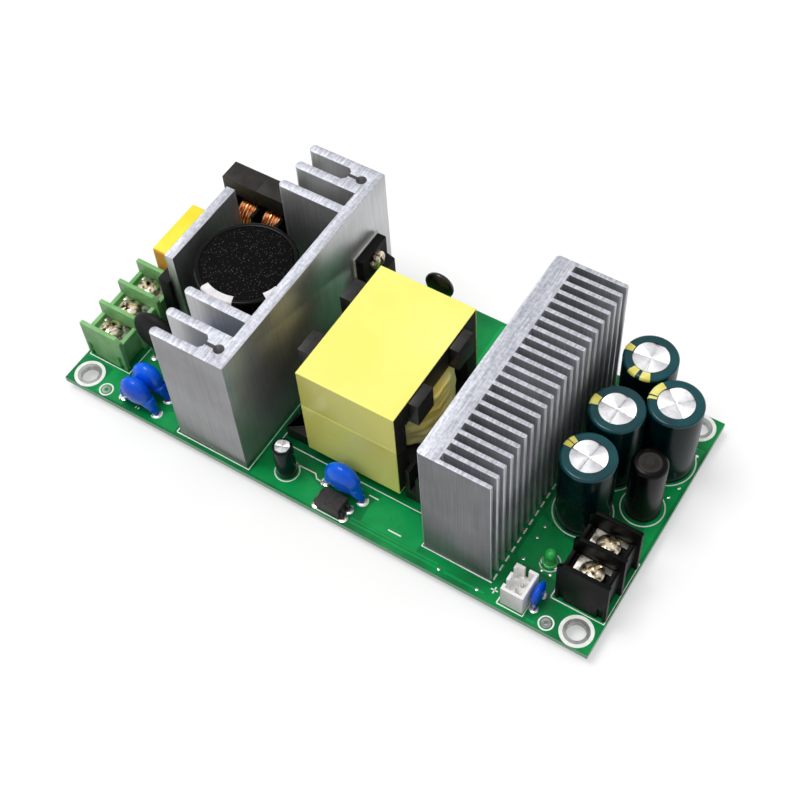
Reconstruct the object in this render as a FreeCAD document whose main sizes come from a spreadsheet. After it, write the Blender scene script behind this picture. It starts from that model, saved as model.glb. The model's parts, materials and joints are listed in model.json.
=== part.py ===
import FreeCAD, Part
import math
import os
import Sketcher

# Open frame power supply: a printed board that carries its parts between two heatsinks.
# Frame: X along the board from the mains input to the output, Y from the front edge to the
# back edge, Z up. The origin is the middle of the four mounting holes, on the underside.
# Every place below is measured from a board edge or from the part that it sits on.

doc = FreeCAD.newDocument("OpenFrameSupply")
sheet = doc.addObject("Spreadsheet::Sheet", "Sizes")

SIZES = {
    # board
    "boardThickness": 1.6,
    "mountInsetX": 4.8,
    "mountInsetY": 4.0,
    "outputBay": 27.2,
    "mountHole": 4.6,
    "testHole": 1.2,
    "testInsetX": 11.5,
    "testInsetY": 2.3,
    # leads and their holes
    "leadThick": 0.7,
    "leadGap": 0.1,
    "leadTip": 2.0,
    # screw terminals
    "wayPitch": 7.62,
    "dividerThick": 1.2,
    "dividerBevel": 1.3,
    "grooveIn": 0.9,
    "grooveWide": 1.3,
    "grooveTall": 4.5,
    "grooveDeep": 0.6,
    "pinBehind": 3.9,
    "pinWide": 1.2,
    "plateAhead": 3.8,
    "screwReach": 4.4,
    "screwSink": 0.3,
    "contactThick": 0.8,
    "screwDia": 3.0,
    "screwHead": 5.0,
    "clampHead": 5.7,
    "screwHeadTall": 1.9,
    "screwGap": 0.15,
    "contactGap": 0.1,
    "inInsetX": 0.3,
    "inInsetY": 9.5,
    "inDepth": 12.4,
    "inBodyDepth": 11.2,
    "inTall": 12.0,
    "inBodyTall": 6.5,
    "inScrewX": 5.6,
    "inRim": 1.4,
    "outInsetX": 0.4,
    "outInsetY": 8.9,
    "outDepth": 12.7,
    "outBodyDepth": 11.5,
    "outTall": 15.5,
    "outBodyTall": 9.2,
    "outScrewX": 6.2,
    "outRim": 0.9,
    "outDividerThick": 1.1,
    # inrush thermistor
    "ntcAir": 0.2,
    "ntcY": 16.5,
    "ntcZ": 12.2,
    "ntcDia": 13.6,
    "ntcThick": 5.0,
    "ntcPitch": 7.5,
    # disc capacitors
    "discDia": 8.0,
    "discThick": 4.2,
    "discRise": 6.2,
    "discPitch": 10.0,
    "discFoot": 1.5,
    "footInset": 0.2,
    "footSpread": 2.0,
    "footSink": 0.9,
    "yCapX": 22.0,
    "yCapFrontY": 2.9,
    "yCapRearY": 7.8,
    "linkIn": 12.5,
    "linkY": 7.8,
    "rearDiscIn": 4.3,
    "rearDiscBack": 5.0,
    "rearDiscZ": 10.9,
    "rearDiscDia": 8.2,
    "rearDiscThick": 3.2,
    "rearDiscPitch": 5.0,
    # film capacitor
    "filmX": 9.1,
    "filmY": 43.6,
    "filmLong": 17.5,
    "filmThick": 9.0,
    "filmTall": 17.0,
    "filmPitch": 15.0,
    "filmEdge": 0.5,
    # fuse
    "fuseX": 5.0,
    "fuseBehind": 3.95,
    "fuseEdge": 0.4,
    "fuseLong": 8.4,
    "fuseWide": 4.0,
    "fuseTall": 6.5,
    "fusePitch": 5.08,
    # common-mode choke
    "chokeAir": 3.5,
    "chokeBehind": 3.0,
    "chokeToEdge": 1.9,
    "chokeCoreLong": 20.9,
    "chokeCoreDepth": 6.0,
    "chokeLeg": 5.0,
    "chokeBack": 2.4,
    "chokeCoreLow": 8.0,
    "chokeCoreTall": 16.0,
    "chokeFlange": 1.0,
    "chokeFlangeWide": 12.4,
    "chokeFlangeTop": 17.6,
    "chokeTubeDia": 8.6,
    "chokeWindDia": 12.4,
    "chokeGap": 0.1,
    "chokePinY": 10.0,
    # bridge rectifier and plate
    "bridgeAir": 0.7,
    "plateY": 27.1,
    "plateThick": 2.6,
    "plateLong": 25.6,
    "plateTall": 30.0,
    "bridgeThick": 3.4,
    "bridgeLong": 22.0,
    "bridgeTall": 18.0,
    "bridgeLow": 2.4,
    "bridgeInset": 1.0,
    "bridgePitch": 5.08,
    "bridgeNotch": 3.0,
    "bridgeScrewZ": 11.4,
    "plateTab": 5.0,
    "plateTabThick": 1.4,
    # bulk capacitor
    "bulkAir": 3.3,
    "bulkDia": 25.4,
    "bulkTall": 30.0,
    "bulkPitch": 10.0,
    "bulkOff": 0.7,
    "bulkFold": 2.0,
    "foldThick": 0.35,
    # primary heatsink
    "sinkTall": 40.2,
    "wallAir": 3.5,
    "priY": 1.5,
    "priBack": 2.5,
    "priDeep": 20.5,
    "priWall": 3.0,
    "priFin": 2.4,
    "priFinTwo": 6.2,
    "priFinThree": 13.1,
    "priTipRound": 1.1,
    "priBoss": 4.5,
    "priChannel": 2.5,
    "priChannelIn": 0.9,
    "priLipRound": 0.9,
    "priSlot": 0.8,
    # transistor on the primary heatsink
    "swWide": 10.2,
    "swY": 56.9,
    "swTop": 25.0,
    "swTabTall": 7.0,
    "swTall": 16.0,
    "swTabThick": 2.4,
    "swThick": 4.5,
    "padThick": 0.4,
    "padEdge": 0.3,
    "swHole": 3.4,
    "swHoleDown": 3.4,
    "swPitch": 2.54,
    "swLeadX": 2.5,
    "swStep": 0.8,
    # transformer
    "transformerAir": 11.5,
    "trY": 11.9,
    "trWide": 25.6,
    "trDeep": 35.3,
    "trLow": 4.4,
    "trTall": 30.3,
    "tapeThick": 0.25,
    "trPlate": 5.8,
    "trPole": 14.0,
    "trLeg": 4.2,
    "bobFlange": 1.4,
    "bobGap": 0.15,
    "bobWall": 1.0,
    "riser": 1.4,
    "railLong": 31.0,
    "railOut": 8.2,
    "railOutRight": 4.6,
    "railTall": 3.8,
    "notchWide": 0.9,
    "notchDeep": 2.6,
    "pinIn": 2.4,
    "pinInRight": 1.9,
    "shoeApart": 8.6,
    "shoeWide": 6.4,
    "shoeTall": 7.0,
    "shoeOut": 3.5,
    "shoeOutRight": 2.6,
    "windAir": 0.4,
    "windBulge": 1.9,
    "trPinPitch": 5.08,
    # small parts at the front
    "elcoAhead": 2.6,
    "elcoY": 5.7,
    "elcoDia": 5.0,
    "elcoTall": 11.0,
    "elcoPitch": 2.0,
    "canBevel": 0.4,
    "leadThin": 0.4,
    "leadWide": 0.9,
    "optoIn": 12.3,
    "optoY": 2.9,
    "optoLong": 6.3,
    "optoWide": 4.4,
    "optoTall": 3.5,
    "optoLow": 0.4,
    "optoPitch": 2.54,
    "optoSpan": 7.62,
    # secondary heatsink and rectifiers
    "rectifierAir": 10.15,
    "secWall": 5.2,
    "secDeep": 18.05,
    "secPitch": 2.862,
    "secFin": 1.1,
    "secFins": 22,
    "secTip": 0.25,
    "secCorner": 1.0,
    "secOff": 0.5,
    "secPinIn": 6.0,
    "secPin": 1.8,
    "rectA": 16.0,
    "rectB": 42.0,
    "rectTop": 23.0,
    # output filter
    "capDia": 13.0,
    "capTall": 24.0,
    "capPitch": 5.0,
    "capFold": 2.1,
    "capAX": 18.2,
    "capAY": 62.2,
    "capBX": 7.7,
    "capBY": 53.7,
    "capCX": 18.3,
    "capCY": 45.8,
    "capDX": 17.9,
    "capDY": 31.5,
    "rodX": 6.6,
    "rodY": 39.5,
    "rodDia": 8.6,
    "rodCore": 6.0,
    "rodTall": 20.0,
    "rodPitch": 5.0,
    "rodSunk": 0.4,
    "rodAir": 0.05,
    "rodShoulder": 1.2,
    # fan header, lamp and small capacitor
    "fanX": 22.75,
    "fanY": 1.45,
    "fanWide": 5.7,
    "fanLong": 7.5,
    "fanTall": 7.0,
    "fanWall": 0.8,
    "fanFloor": 2.6,
    "fanPitch": 2.5,
    "fanPin": 0.64,
    "fanSlot": 1.0,
    "fanSlotIn": 2.1,
    "lampX": 18.0,
    "lampY": 16.0,
    "lampDia": 3.0,
    "lampFlange": 3.8,
    "lampTall": 5.0,
    "lampRim": 0.8,
    "lampBevel": 0.8,
    "lampPitch": 2.54,
    "smallCapX": 15.5,
    "smallCapY": 6.0,
    "smallCapDia": 6.2,
    "smallCapThick": 2.4,
    "smallCapZ": 4.2,
    "smallCapPitch": 4.0,
    # underside parts
    "chipAway": 14.0,
    "chipPitch": 1.27,
    "chipFoot": 0.42,
    "chipFootTall": 0.25,
    "chipRow": 6.0,
    "resistorGap": 2.6,
    "chipY": 24.0,
    "chipLong": 4.9,
    "chipWide": 3.9,
    "chipTall": 1.4,
    "chipLegOut": 1.0,
    "resistorLong": 3.2,
    "resistorWide": 1.6,
    "resistorTall": 0.55,
    "sinkHead": 5.0,
    "sinkHeadTall": 1.8,
    "sinkReach": 8.0,
}

for row, (alias, value) in enumerate(SIZES.items(), 1):
    sheet.set("A%d" % row, alias)
    sheet.set("B%d" % row, str(value))
    sheet.setAlias("B%d" % row, alias)
doc.recompute()


class Size:
    """A length that carries its value and the expression that reads it from the sheet."""

    def __init__(self, value, text):
        self.value = value
        self.text = text

    def __add__(self, other):
        other = size(other)
        return Size(self.value + other.value, "(%s + %s)" % (self.text, other.text))

    def __sub__(self, other):
        other = size(other)
        return Size(self.value - other.value, "(%s - %s)" % (self.text, other.text))

    def __mul__(self, number):
        return Size(self.value * number, "(%s * %r)" % (self.text, number))

    def __truediv__(self, number):
        return Size(self.value / number, "(%s / %r)" % (self.text, number))

    def __neg__(self):
        return Size(-self.value, "(-%s)" % self.text)

    __radd__ = __add__

    def __rsub__(self, other):
        return size(other) - self


def size(thing):
    if isinstance(thing, Size):
        return thing
    return Size(float(thing), "%r" % float(thing))


class Table:
    pass


S = Table()
for alias, value in SIZES.items():
    setattr(S, alias, Size(value, "Sizes." + alias))

V = FreeCAD.Vector
# Small round pieces are drawn as regular prisms: shafts and hidden bores, heads, discs.
BORE_SIDES = 8
HEAD_SIDES = 20
DISC_SIDES = 24
POLE_SIDES = 16
NODES = []
HOLES = []


# Helpers for bodies, sketches and features

def place(item, x, y, z):
    for axis, length in zip("xyz", (x, y, z)):
        item.setExpression(".Placement.Base." + axis, size(length).text)


def body(name, x=0, y=0, z=0):
    item = doc.addObject("PartDesign::Body", name)
    item.Label = name
    place(item, x, y, z)
    NODES.append(item)
    return item


def sketch(owner, plane="XY", lift=0):
    """A sketch on one of the body's own planes, lifted along the plane's normal."""
    base = [f for f in owner.Origin.OriginFeatures if f.Role == plane + "_Plane"][0]
    item = owner.newObject("Sketcher::SketchObject", owner.Name + "_sketch")
    item.AttachmentSupport = [(base, "")]
    item.MapMode = "FlatFace"
    item.setExpression("AttachmentOffset.Base.z", size(lift).text)
    return item


def bind(item, rule, length):
    number = item.addConstraint(rule)
    item.setExpression("Constraints[%d]" % number, length.text)


def polygon(item, points):
    """Straight edges through the points, each corner held by two dimensions."""
    points = [(size(a), size(b)) for a, b in points]
    first = item.GeometryCount
    count = len(points)
    for i in range(count):
        a, b = points[i]
        c, d = points[(i + 1) % count]
        item.addGeometry(Part.LineSegment(V(a.value, b.value, 0), V(c.value, d.value, 0)), False)
    for i in range(count):
        item.addConstraint(Sketcher.Constraint("Coincident", first + i, 2, first + (i + 1) % count, 1))
    for i, (a, b) in enumerate(points):
        bind(item, Sketcher.Constraint("DistanceX", first + i, 1, a.value), a)
        bind(item, Sketcher.Constraint("DistanceY", first + i, 1, b.value), b)


def rectangle(item, x, y, wide, deep):
    """A rectangle from its lower left corner."""
    x, y = size(x), size(y)
    polygon(item, [(x, y), (x + wide, y), (x + wide, y + deep), (x, y + deep)])


def centred(item, x, y, wide, deep):
    rectangle(item, size(x) - size(wide) / 2, size(y) - size(deep) / 2, wide, deep)


def circle(item, x, y, across):
    x, y, across = size(x), size(y), size(across)
    number = item.addGeometry(Part.Circle(V(x.value, y.value, 0), V(0, 0, 1), across.value / 2), False)
    bind(item, Sketcher.Constraint("DistanceX", number, 3, x.value), x)
    bind(item, Sketcher.Constraint("DistanceY", number, 3, y.value), y)
    bind(item, Sketcher.Constraint("Diameter", number, across.value), across)


def feature(owner, kind, profile):
    item = owner.newObject("PartDesign::" + kind, owner.Name + "_" + kind.lower())
    item.Profile = profile
    return item


def pad(owner, profile, length, flip=False):
    item = feature(owner, "Pad", profile)
    item.setExpression("Length", size(length).text)
    item.Reversed = flip
    return item


def pocket(owner, profile, length, flip=False):
    """Cut away from the sketch, against its normal unless flipped; the volume must drop."""
    doc.recompute()
    before = owner.Shape.Volume
    item = feature(owner, "Pocket", profile)
    item.setExpression("Length", size(length).text)
    item.Reversed = flip
    doc.recompute()
    if owner.Shape.Volume >= before - 1e-6:
        raise ValueError("pocket cuts nothing in " + owner.Label)
    return item


def pattern(owner, source, axis, pitch, count):
    """Repeat a feature along an axis of its own sketch."""
    item = owner.newObject("PartDesign::LinearPattern", owner.Name + "_pattern")
    item.Originals = [source]
    item.Direction = (source.Profile[0], [axis])
    item.Mode = "Spacing"
    item.setExpression("Offset", size(pitch).text)
    item.Occurrences = count
    owner.Tip = item
    return item


def round_edges(owner, radius, wanted, kind="Fillet"):
    """Round or bevel the edges that the test picks."""
    doc.recompute()
    tip = owner.Tip
    names = []
    for i, edge in enumerate(tip.Shape.Edges, 1):
        if wanted(edge):
            names.append("Edge%d" % i)
    item = owner.newObject("PartDesign::" + kind, owner.Name + "_" + kind.lower())
    item.Base = (tip, names)
    item.setExpression("Radius" if kind == "Fillet" else "Size", size(radius).text)
    owner.Tip = item
    return item


def upright(edge, x=None):
    """A vertical straight edge, at a given local x if one is named."""
    box = edge.BoundBox
    if box.XLength > 1e-4 or box.YLength > 1e-4 or box.ZLength < 1e-4:
        return False
    return x is None or abs(box.XMin - x) < 1e-4


def leads(owner, x, y, spots, top, thick=None, wide=None):
    """Square leads from the tips below the board up to the part, and their board holes."""
    thick = thick or S.leadThick
    wide = wide or thick
    tip = S.boardThickness + S.leadTip
    profile = sketch(owner, "XY", -tip)
    for a, b in spots:
        centred(profile, a, b, thick, wide)
        HOLES.append((x + a, y + b, thick, wide))
    return pad(owner, profile, size(top) + tip)


def prism(owner, x, y, across, length, sides, plane="XY", lift=0, cut=False):
    """A regular prism along the plane's normal, its corners on a circle of that diameter."""
    doc.recompute()
    before = owner.Shape.Volume if cut else 0
    kind = "Subtractive" if cut else "Additive"
    item = owner.newObject("PartDesign::%sPrism" % kind, owner.Name + "_prism")
    base = [f for f in owner.Origin.OriginFeatures if f.Role == plane + "_Plane"][0]
    item.AttachmentSupport = [(base, "")]
    item.MapMode = "FlatFace"
    item.Polygon = sides
    item.setExpression("Circumradius", (size(across) / 2).text)
    item.setExpression("Height", size(length).text)
    for axis, distance in zip("xyz", (x, y, lift)):
        item.setExpression("AttachmentOffset.Base." + axis, size(distance).text)
    if cut:
        doc.recompute()
        if owner.Shape.Volume >= before - 1e-6:
            raise ValueError("prism cuts nothing in " + owner.Label)
    return item


# Places along the board, one after the other from the input edge

def edge(x):
    return x - board_long / 2


def front(y):
    return y - board_wide / 2


bridge_right = S.filmX + S.filmThick / 2 + S.bridgeAir + S.bridgeThick
plate_right = bridge_right + S.plateThick
bulk_x = plate_right + S.bulkAir + S.bulkDia / 2
pri_wall = bulk_x + S.bulkDia / 2 + S.wallAir
pri_tips = pri_wall + S.priWall - S.priDeep
pri_right = pri_wall + S.priWall
tr_left = pri_right + S.transformerAir
tr_right = tr_left + S.trWide
sec_left = tr_right + S.rectifierAir
sec_right = sec_left + S.secDeep
board_long = sec_right + S.outputBay
board_wide = S.plateY + S.plateLong + S.chokeBehind + S.chokeFlangeWide + S.chokeToEdge
pri_long = board_wide - S.priY - S.priBack
top = S.boardThickness


# Screw terminals: moulded housing, clamp contacts with board pins, screws

def terminal(name, x, y, ways, depth, body_deep, tall, body_tall, screw_x, wall, rim, mirror):
    """Local x runs from the wire side; mirror puts the wire side at the far end."""
    def across(a, wide=0):
        return depth - a - wide if mirror else size(a)

    pitch = S.wayPitch
    long = pitch * ways + wall
    housing = body(name + "_housing", x, y, top)
    outline = sketch(housing, "XZ")
    lip = body_tall + rim
    polygon(outline, [
        (0, 0), (body_deep, 0), (body_deep, lip), (body_deep - wall, lip),
        (body_deep - wall, body_tall), (wall, body_tall), (wall, lip), (0, lip)])
    pad(housing, outline, long, True)
    divider = sketch(housing, "XZ")
    polygon(divider, [
        (across(0), 0), (across(depth), 0), (across(depth), tall - S.dividerBevel),
        (across(depth - S.dividerBevel), tall), (across(0), tall)])
    fin = pad(housing, divider, wall, True)
    doc.recompute()
    row = housing.newObject("PartDesign::LinearPattern", housing.Name + "_dividers")
    row.Originals = [fin]
    row.Direction = ([f for f in housing.Origin.OriginFeatures if f.Role == "Y_Axis"][0], [""])
    row.Mode = "Spacing"
    row.setExpression("Offset", pitch.text)
    row.Occurrences = ways + 1
    housing.Tip = row

    hole = S.screwDia + S.screwGap * 2
    pin_x = across(screw_x + S.pinBehind)
    wells = sketch(housing, "XY", body_tall - S.screwReach - S.screwSink)
    slots = sketch(housing, "XY")
    for i in range(ways):
        mid = pitch * i + (pitch + wall) / 2
        centred(wells, across(screw_x), mid, hole, hole)
        centred(slots, pin_x, mid, S.contactThick + S.contactGap * 2, S.pinWide + S.contactGap * 2)
    pocket(housing, wells, S.screwReach + S.screwSink, True)
    pocket(housing, slots, body_tall, True)
    # moulded grooves on the two end faces
    for lift in (size(0), long - S.grooveDeep):
        grooves = sketch(housing, "XZ", -lift)
        for a in (S.grooveIn, depth - S.grooveIn - S.grooveWide):
            rectangle(grooves, across(a, S.grooveWide), 0, S.grooveWide, S.grooveTall)
        pocket(housing, grooves, S.grooveDeep)

    contacts = body(name + "_contacts", x, y, top)
    plate_wide = pitch - wall - S.contactGap * 2
    plate = sketch(contacts, "XY", body_tall)
    pins = sketch(contacts, "XY", -(S.boardThickness + S.leadTip))
    for i in range(ways):
        mid = pitch * i + (pitch + wall) / 2
        far = S.pinBehind + S.contactThick / 2
        near = far + S.plateAhead
        wire_end = screw_x + far - near
        shut = screw_x + hole / 2
        polygon(plate, [
            (across(wire_end), mid - plate_wide / 2), (across(screw_x + far), mid - plate_wide / 2),
            (across(screw_x + far), mid + plate_wide / 2), (across(wire_end), mid + plate_wide / 2),
            (across(wire_end), mid + hole / 2), (across(shut), mid + hole / 2),
            (across(shut), mid - hole / 2), (across(wire_end), mid - hole / 2)])
        centred(pins, pin_x, mid, S.contactThick, S.pinWide)
        HOLES.append((x + pin_x, y + mid, S.contactThick, S.pinWide))
    pad(contacts, plate, S.contactThick)
    pad(contacts, pins, S.boardThickness + S.leadTip + body_tall)

    screws = body(name + "_screws", x, y, top)
    for i in range(ways):
        mid = pitch * i + (pitch + wall) / 2
        prism(screws, across(screw_x), mid, S.screwDia, S.screwReach + S.contactThick + S.screwSink,
              BORE_SIDES, "XY", body_tall - S.screwReach)
        prism(screws, across(screw_x), mid, S.clampHead, S.screwHeadTall,
              HEAD_SIDES, "XY", body_tall + S.contactThick)
    return housing


terminal("input_terminal", edge(S.inInsetX), front(S.inInsetY), 3, S.inDepth, S.inBodyDepth,
         S.inTall, S.inBodyTall, S.inScrewX, S.dividerThick, S.inRim, False)
out_x = board_long / 2 - S.outInsetX - S.outDepth
terminal("output_terminal", out_x, front(S.outInsetY), 2, S.outDepth, S.outBodyDepth,
         S.outTall, S.outBodyTall, S.outScrewX, S.outDividerThick, S.outRim, True)


# Disc parts: a coated disc on two leads, standing along the board or across it

def disc(name, x, y, rise, across, thick, pitch, foot=None, plane="XZ"):
    """Local origin on the board below the disc's middle."""
    part = body(name, x, y, top)
    half = across / 2
    prism(part, 0, rise, across, thick, DISC_SIDES, plane, -(thick / 2))
    flat = "YLength" if plane == "XZ" else "XLength"
    round_edges(part, thick / 4, lambda e: getattr(e.BoundBox, flat) < 1e-4, "Chamfer")
    if foot is None:
        spots = [(-(pitch / 2), 0), (pitch / 2, 0)]
        if plane == "YZ":
            spots = [(0, at) for at, _ in spots]
        leads(part, x, y, spots, rise - half * 0.6)
        return part
    # the coating runs down both leads and narrows to the board
    legs = sketch(part, "XZ", -(foot / 2))
    for side in (-1, 1):
        end = pitch / 2 * side
        polygon(legs, [
            (end - foot / 2 * side, 0), (end + foot / 2 * side, 0),
            ((half - S.footInset) * side, rise - S.footSink),
            ((half - S.footInset - S.footSpread) * side, rise - S.footSink)])
    pad(part, legs, foot)
    leads(part, x, y, [(-(pitch / 2), 0), (pitch / 2, 0)], 0)
    return part


disc("inrush_thermistor", edge(S.inInsetX + S.inDepth + S.ntcAir + S.ntcDia / 2), front(S.ntcY),
     S.ntcZ, S.ntcDia, S.ntcThick, S.ntcPitch)
disc("safety_capacitor_front", edge(S.yCapX), front(S.yCapFrontY),
     S.discRise, S.discDia, S.discThick, S.discPitch, S.discFoot)
disc("safety_capacitor_rear", edge(S.yCapX), front(S.yCapRearY),
     S.discRise, S.discDia, S.discThick, S.discPitch, S.discFoot)
disc("safety_capacitor_link", edge(tr_left + S.linkIn), front(S.linkY),
     S.discRise, S.discDia, S.discThick, S.discPitch, S.discFoot)
disc("snubber_capacitor", edge(tr_left + S.rearDiscIn), board_wide / 2 - S.rearDiscBack,
     S.rearDiscZ, S.rearDiscDia, S.rearDiscThick, S.rearDiscPitch)
disc("noise_capacitor", board_long / 2 - S.smallCapX, front(S.smallCapY),
     S.smallCapZ, S.smallCapDia, S.smallCapThick, S.smallCapPitch, plane="YZ")


# Moulded boxes with two leads

def boxed(name, x, y, long_x, long_y, tall, spots, bevel):
    part = body(name, x, y, top)
    base = sketch(part, "XY")
    centred(base, 0, 0, long_x, long_y)
    pad(part, base, tall)
    high = tall.value
    round_edges(part, bevel, lambda e: upright(e) or e.BoundBox.ZMin > high - 1e-4, "Chamfer")
    leads(part, x, y, spots, 0)
    return part


film_y = front(S.filmY)
boxed("film_capacitor", edge(S.filmX), film_y, S.filmThick, S.filmLong, S.filmTall,
      [(0, -(S.filmPitch / 2)), (0, S.filmPitch / 2)], S.filmEdge)
fuse_y = front(S.filmY + S.filmLong / 2 + S.fuseBehind + S.fuseLong / 2)
boxed("input_fuse", edge(S.fuseX), fuse_y, S.fuseWide, S.fuseLong, S.fuseTall,
      [(0, -(S.fusePitch / 2)), (0, S.fusePitch / 2)], S.fuseEdge)


# Common-mode choke: two ferrite halves closed through a three-flange bobbin, two windings

choke_x = edge(pri_tips - S.chokeAir - S.chokeCoreLong / 2)
choke_y = front(S.plateY + S.plateLong + S.chokeBehind + S.chokeFlangeWide / 2)
leg_mid = S.chokeCoreLow + S.chokeLeg / 2
for name, side in (("choke_core_left", -1), ("choke_core_right", 1)):
    core = body(name, choke_x, choke_y, top)
    profile = sketch(core, "XZ", -(S.chokeCoreDepth / 2))
    half = S.chokeCoreLong / 2 * side
    inner = (S.chokeCoreLong / 2 - S.chokeBack) * side
    low = S.chokeCoreLow
    high = S.chokeCoreLow + S.chokeCoreTall
    polygon(profile, [
        (0, low), (half, low), (half, high), (0, high),
        (0, high - S.chokeLeg), (inner, high - S.chokeLeg),
        (inner, low + S.chokeLeg), (0, low + S.chokeLeg)])
    pad(core, profile, S.chokeCoreDepth)

bobbin = body("choke_bobbin", choke_x, choke_y, top)
bobbin_long = S.chokeCoreLong - S.chokeBack * 2 - S.chokeGap * 2
prism(bobbin, 0, leg_mid, S.chokeTubeDia, bobbin_long, POLE_SIDES, "YZ", -(bobbin_long / 2))
for place_x in (-(bobbin_long / 2), -(S.chokeFlange / 2), bobbin_long / 2 - S.chokeFlange):
    flange = sketch(bobbin, "YZ", place_x)
    rectangle(flange, -(S.chokeFlangeWide / 2), 0, S.chokeFlangeWide, S.chokeFlangeTop)
    pad(bobbin, flange, S.chokeFlange)
opening = sketch(bobbin, "YZ", -(bobbin_long / 2))
centred(opening, 0, leg_mid, S.chokeCoreDepth + S.chokeGap * 2, S.chokeLeg + S.chokeGap * 2)
pocket(bobbin, opening, bobbin_long, True)
pin_x = bobbin_long / 2 - S.chokeFlange / 2
leads(bobbin, choke_x, choke_y, [
    (pin_x * a, S.chokePinY / 2 * b) for a in (-1, 1) for b in (-1, 1)], 0)

room = (bobbin_long - S.chokeFlange * 3) / 2 - S.chokeGap * 2
for name, side in (("choke_winding_left", -1), ("choke_winding_right", 1)):
    coil = body(name, choke_x, choke_y, top)
    start = S.chokeFlange / 2 + S.chokeGap
    if side < 0:
        start = -(start + room)
    profile = sketch(coil, "YZ", start)
    circle(profile, 0, leg_mid, S.chokeWindDia)
    pad(coil, profile, room)
    prism(coil, 0, leg_mid, S.chokeTubeDia + S.chokeGap * 2, room, POLE_SIDES, "YZ", start, True)


# Bridge rectifier, screwed to its own upright plate

plate = body("bridge_heatsink", edge(bridge_right), front(S.plateY), top)
face = sketch(plate, "YZ")
rectangle(face, 0, 0, S.plateLong, S.plateTall)
pad(plate, face, S.plateThick)
prism(plate, S.bridgeLong / 2 - S.bridgeInset, S.bridgeScrewZ, S.screwDia + S.screwGap * 2,
      S.plateThick, BORE_SIDES, "YZ", 0, True)
leads(plate, edge(bridge_right), front(S.plateY),
      [(S.plateThick / 2, S.plateTab), (S.plateThick / 2, S.plateLong - S.plateTab)],
      0, S.plateTabThick)

bridge_y = front(S.plateY + S.bridgeLong / 2 - S.bridgeInset)
bridge = body("bridge_rectifier", edge(bridge_right), bridge_y, top)
face = sketch(bridge, "YZ", -S.bridgeThick)
half = S.bridgeLong / 2
high = S.bridgeLow + S.bridgeTall
polygon(face, [
    (-half, S.bridgeLow), (half, S.bridgeLow), (half, high - S.bridgeNotch),
    (half - S.bridgeNotch, high), (-half, high)])
pad(bridge, face, S.bridgeThick)
prism(bridge, 0, S.bridgeScrewZ, S.screwDia + S.screwGap * 2, S.bridgeThick, BORE_SIDES, "YZ",
      -S.bridgeThick, True)
leads(bridge, edge(bridge_right), bridge_y,
      [(-(S.bridgeThick / 2), S.bridgePitch * a) for a in (-1.5, -0.5, 0.5, 1.5)], S.bridgeLow)

fastener = body("bridge_screw", edge(bridge_right), bridge_y, top)
prism(fastener, 0, S.bridgeScrewZ, S.screwDia, S.bridgeThick + S.plateThick, BORE_SIDES, "YZ",
      -S.bridgeThick)
prism(fastener, 0, S.bridgeScrewZ, S.screwHead, S.screwHeadTall, HEAD_SIDES, "YZ", S.plateThick)


# Electrolytic capacitors: sealed cans, the sleeve folded over the rim as a raised ring

def capacitor(name, x, y, across, tall, fold, pitch):
    can = body(name, x, y, top)
    base = sketch(can, "XY")
    circle(base, 0, 0, across)
    pad(can, base, tall)
    prism(can, 0, 0, across - fold * 2, S.foldThick, DISC_SIDES, "XY", tall - S.foldThick, True)
    leads(can, x, y, [(-(pitch / 2), 0), (pitch / 2, 0)], 0)


capacitor("bulk_capacitor", edge(bulk_x), front(S.priY + pri_long / 2 + S.bulkOff),
          S.bulkDia, S.bulkTall, S.bulkFold, S.bulkPitch)
for letter in "ABCD":
    capacitor("output_capacitor_" + letter.lower(),
              board_long / 2 - getattr(S, "cap%sX" % letter),
              front(getattr(S, "cap%sY" % letter)),
              S.capDia, S.capTall, S.capFold, S.capPitch)


def small_can(name, x, y, across, tall, pitch):
    """A small sealed electrolytic capacitor with its bevelled top rim."""
    part = body(name, x, y, top)
    prism(part, 0, 0, across, tall, DISC_SIDES)
    rim = tall.value
    round_edges(part, S.canBevel, lambda e: e.BoundBox.ZMin > rim - 1e-4, "Chamfer")
    leads(part, x, y, [(-(pitch / 2), 0), (pitch / 2, 0)], 0)


small_can("control_capacitor", edge(tr_left - S.elcoAhead), front(S.elcoY),
          S.elcoDia, S.elcoTall, S.elcoPitch)


# Primary heatsink: one extruded length, three fins at each end and two screw channels

pri = body("primary_heatsink", edge(pri_tips), front(S.priY), top)
deep = S.priDeep
inside = S.priDeep - S.priWall
fin = S.priFin
near = [
    (0, 0), (0, fin), (inside - S.priBoss, fin), (inside - S.priBoss, S.priFinTwo),
    (0, S.priFinTwo), (0, S.priFinTwo + fin), (inside, S.priFinTwo + fin),
    (inside, S.priFinThree), (0, S.priFinThree), (0, S.priFinThree + fin),
    (inside, S.priFinThree + fin)]
far = [(a, pri_long - b) for a, b in reversed(near)]
outline = sketch(pri, "XY")
polygon(outline, [(deep, 0)] + near + far + [(deep, pri_long)])
pad(pri, outline, S.sinkTall)
round_edges(pri, S.priTipRound, lambda e: upright(e, 0.0))
lips = (inside - S.priBoss).value
round_edges(pri, S.priLipRound, lambda e: upright(e, lips), "Chamfer")
channel_y = (fin + S.priFinTwo) / 2
channel_x = inside - S.priChannelIn
for at_y in (channel_y, pri_long - channel_y):
    bore = sketch(pri, "XY")
    circle(bore, channel_x, at_y, S.priChannel)
    pocket(pri, bore, S.sinkTall, True)
    slot = sketch(pri, "XY")
    start = inside - S.priBoss - S.priSlot
    rectangle(slot, start, at_y - S.priSlot / 2, channel_x - start, S.priSlot)
    pocket(pri, slot, S.sinkTall, True)


# Secondary heatsink: a thick wall with a comb of thin fins

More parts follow.
